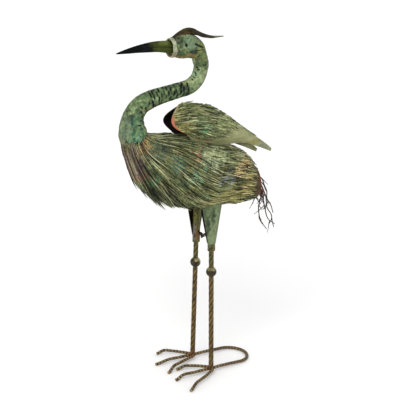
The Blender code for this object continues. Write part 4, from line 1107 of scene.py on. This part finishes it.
def leg_pieces(side, word):
    """The twisted leg bar and the ball on it."""
    path = leg_point(side, np.linspace(LEG_END_HEIGHT, HIP_HEIGHT + THIGH_RISE, 60)) + SHIFT
    mesh = worked_bar("leg_bar_" + word, path, LEG_BAR, LEG_TWIST_PITCH, 0.055, 0.002, 24, twisted=True)
    finished(mesh, LEG_PATINA, ["leg_" + word], crease=60)

    turn = around(36)
    rings = []
    for level in np.linspace(radians(-84), radians(84), 25):
        radius = KNEE_BALL / 2 * cos(level)
        ring = ring_on_leg(side, KNEE_HEIGHT, radius, radius, turn)
        rings.append(ring + np.array([0, 0, KNEE_BALL / 2 * sin(level)]))
    finished(loft("ball_" + word, rings), BALL_PATINA, ["knee_ball_" + word], crease=60)


def sleeve_piece(side, word):
    """The bored tube that holds the leg bar, a little uneven outside."""
    turn = around(36)
    low, high = HIP_HEIGHT - SLEEVE_DROP, HIP_HEIGHT + THIGH_RISE
    bore, outer = LEG_BAR / 2 + 0.0003, SLEEVE_TUBE / 2
    profile = [(high, bore), (low, bore), (low, outer - 0.0005), (low + 0.0006, outer + 0.0002)]
    for height in np.linspace(low + 0.003, high, 40):
        profile.append((height, outer + 0.00025 * np.sin(3 * turn + 90 * height)))
    rings = [ring_on_leg(side, height, radius, radius, turn) for height, radius in profile]
    finished(loft("tube_" + word, rings, ends="joined"), SLEEVE_PATINA, ["sleeve_" + word],
             crease=40)


def thigh_piece(side, word):
    """A cone of sheet rolled around the leg, nearly closed on the left and half open on the right."""
    bottom = SLEEVE_TUBE / 2 + 0.0003
    sweep = radians(328 if side < 0 else 155)
    angle = THIGH_START + sweep * np.linspace(0, 1, 48)
    turn = angle - pi / 2
    rings, inside = [], []
    for share in np.linspace(0, 1, 40):
        height = HIP_HEIGHT - THIGH_DROP + (THIGH_DROP + THIGH_RISE) * share
        lean = np.array([THIGH_LEAN * share, 0, 0])
        skins = []
        for grow in (THIGH_SHEET, 0.0):
            half_x = bottom + (THIGH_HALF_LENGTH - bottom) * share + grow
            half_y = bottom + (THIGH_HALF_WIDTH - bottom) * share + grow
            skins.append(ring_on_leg(side, height, side * half_y, side * half_x, turn) - lean)
        rings.append(np.concatenate([skins[0], skins[1][::-1]]))
        # The inner face is painted dark as shade inside the cone
        inside.append(np.repeat([0.0, 1.0], len(angle)))
    mesh = loft("thigh_cone_" + word, rings, ends="halves", marks={"inside": inside})
    finished(mesh, THIGH_PATINA, ["thigh_" + word], crease=40)


def toe_path(name):
    side = 1 if "right" in name else -1
    foot = leg_point(side, TOE_HEIGHT)
    share = np.linspace(0, 1, 40)
    forward, out = curve_through(TOES[name], share).T
    height = TOE_HEIGHT + (TOE_BAR / 2 - TOE_HEIGHT) * blend(TOE_DROP_SHARE, 1.0, share)
    return np.stack([foot[0] - forward, foot[1] + side * out, height], axis=-1) + SHIFT


def loop_path():
    left, right = leg_point(-1, TOE_HEIGHT), leg_point(1, TOE_HEIGHT)
    radius = (right[1] - left[1]) / 2
    run = LOOP_STRAIGHT + pi * radius / 2
    distance = np.linspace(0, 2 * run, 160)
    turn = np.clip((distance - LOOP_STRAIGHT) / radius, 0, pi)
    out = np.minimum(distance, 2 * run - distance)
    height = TOE_HEIGHT + (TOE_BAR / 2 - TOE_HEIGHT) * blend(0.0, 0.92, out / run)
    x = left[0] + np.minimum(out, LOOP_STRAIGHT) + radius * np.sin(turn)
    return np.stack([x, -radius * np.cos(turn), height], axis=-1) + SHIFT


def feet_pieces():
    """The ribbed bars of the toes and of the heel loop."""
    bars = [(name, name.replace("toe_", "toe_bar_"), toe_path(name), 0.2, 0.0008) for name in TOES]
    bars.append(("heel_loop", "heel_bar", loop_path(), 0.13, 0.0009))
    for node, name, path, depth, step in bars:
        mesh = worked_bar(name, path, TOE_BAR, TOE_RIB_PITCH, depth, step, 14, twisted=False)
        finished(mesh, TOE_PATINA, [node], crease=60)


def wire_piece(name, lines, widths, nodes):
    """Thin wires along lines of equal point count, through the strip tree, with a round ridge."""
    points = np.array(lines)
    normals = square_to_lines(np.array([0.0, 1.0, 0.0]), points)[0]
    mesh = strips_mesh(name, points, normals, np.array(widths), {}, WIRE_PATINA, WIRE_RIDGE)
    finished(mesh, WIRE_PATINA, nodes)


def tail_pieces(draw):
    """The wires of the tail, each with a few thinner twigs."""
    lines, widths, nodes = [], [], []
    share = np.linspace(0, 1, 18)
    for number, (out, line) in enumerate(TAIL_WIRES, start=1):
        back, up = curve_through(line, share).T
        kink = 0.0009 * np.sin(share * 23 + number)
        main = np.stack([back + kink, out * (0.6 + 0.4 * share), HIP_HEIGHT + up], axis=-1) + SHIFT
        lines.append(main)
        widths.append(TAIL_WIRE_HALF * (1 - 0.45 * share))
        nodes.append("tail_wire_%d" % number)
        for twig in range(5):
            root = main[int(draw.integers(5, 15))]
            length = draw.uniform(0.016, 0.04)
            heading = unit(np.array([draw.uniform(-0.6, 0.9), draw.uniform(-0.5, 0.5), -1.0]))
            sway = np.array([draw.uniform(-0.3, 0.3), draw.uniform(-0.3, 0.3), 0.0])
            lines.append(root + (share[:, None] * heading + share[:, None] ** 2 * sway) * length)
            widths.append(TWIG_HALF * (1 - 0.6 * share))
    wire_piece("tail_twigs", lines, widths, nodes)


def brace_piece():
    """A few turns of bent wire between the sleeves."""
    height = HIP_HEIGHT - SLEEVE_DROP * 0.72
    right = leg_point(1, height) + SHIFT + np.array([0.0, -0.009, 0.0])
    left = leg_point(-1, height + 0.013) + SHIFT + np.array([-0.009, 0.008, 0.0])
    share = np.linspace(0, 1, 18)
    lines, widths = [], []
    for dip, wave in ((0.012, 0.0), (0.008, 0.9), (0.015, 2.1)):
        line = right + (left - right) * share[:, None]
        line[:, 2] -= dip * np.sin(pi * share) + 0.0014 * np.sin(14 * share + wave)
        line[:, 0] += 0.0018 * np.cos(14 * share + wave)
        lines.append(line)
        widths.append(0.0013 + 0.001 * np.exp(-((share - 0.35) / 0.12) ** 2))
    wire_piece("brace_wires", lines, widths, ["leg_brace"])


# Camera, light and floor


def aim(thing, target):
    direction = Vector(target) - thing.location
    thing.rotation_euler = direction.to_track_quat("-Z", "Y").to_euler()


def stage():
    """The photograph's camera, a large soft key light, a weaker one behind, and a white paper floor."""
    scene = bpy.context.scene
    camera = bpy.data.cameras.new("camera")
    camera.sensor_width = SENSOR
    camera.lens = SENSOR * FOCAL_PIXELS / PICTURE_PIXELS
    camera.clip_end = 400
    view = placed("camera", camera)
    view.location = Vector(CAMERA_PLACE) + Vector(SHIFT)
    aim(view, Vector(CAMERA_TARGET) + Vector(SHIFT))
    scene.camera = view

    for name, place, softness, power in (("key", (-1.6, -1.4, 2.4), 45, 1.68),
                                         ("side", (1.8, -1.6, 1.8), 80, 0.35)):
        light = bpy.data.lights.new(name, "SUN")
        light.angle = radians(softness)
        light.energy = power
        lamp = placed(name, light)
        lamp.location = place
        aim(lamp, (0, 0, 0.45))

    world = bpy.data.worlds.new("soft_room")
    world.use_nodes = True
    sky = world.node_tree.nodes["Background"].inputs
    sky["Color"].default_value = (1, 1, 1, 1)
    sky["Strength"].default_value = 0.68
    scene.world = world
    scene.view_settings.view_transform = "Standard"

    # White paper with a faint grain, so that the ground looks as bare as in the photograph
    paper = bpy.data.materials.new("white_paper")
    paper.use_nodes = True
    tree = paper.node_tree
    shader = tree.nodes["Principled BSDF"]
    place = add_node(tree, "ShaderNodeTexCoord").outputs["Object"]
    shade = ranged(tree, noise(tree, place, 900.0, 2.0)["Fac"], 0.0, 1.0, 0.97, 0.99)
    tree.links.new(shade, shader.inputs["Base Color"])
    shader.inputs["Roughness"].default_value = 0.8
    mesh = bpy.data.meshes.new("floor")
    corners = [(x * FLOOR_HALF, y * FLOOR_HALF, 0) for x, y in ((-1, -1), (1, -1), (1, 1), (-1, 1))]
    mesh.from_pydata(corners, [], [(0, 1, 2, 3)])
    mesh.materials.append(paper)
    placed("floor", mesh)


draw = np.random.default_rng(41)
body_core()
body_strips(draw)
neck_piece()
head_piece()
rim_piece()
beak_piece()
crest_piece()
for side, word in ((-1, "left"), (1, "right")):
    wing_sheet(side, word, wing_skin(side))
    wing_strips(side, word, wing_skin(side), draw)
    leg_pieces(side, word)
    sleeve_piece(side, word)
    thigh_piece(side, word)
feet_pieces()
tail_pieces(draw)
brace_piece()
stage()

bpy.context.view_layer.update()
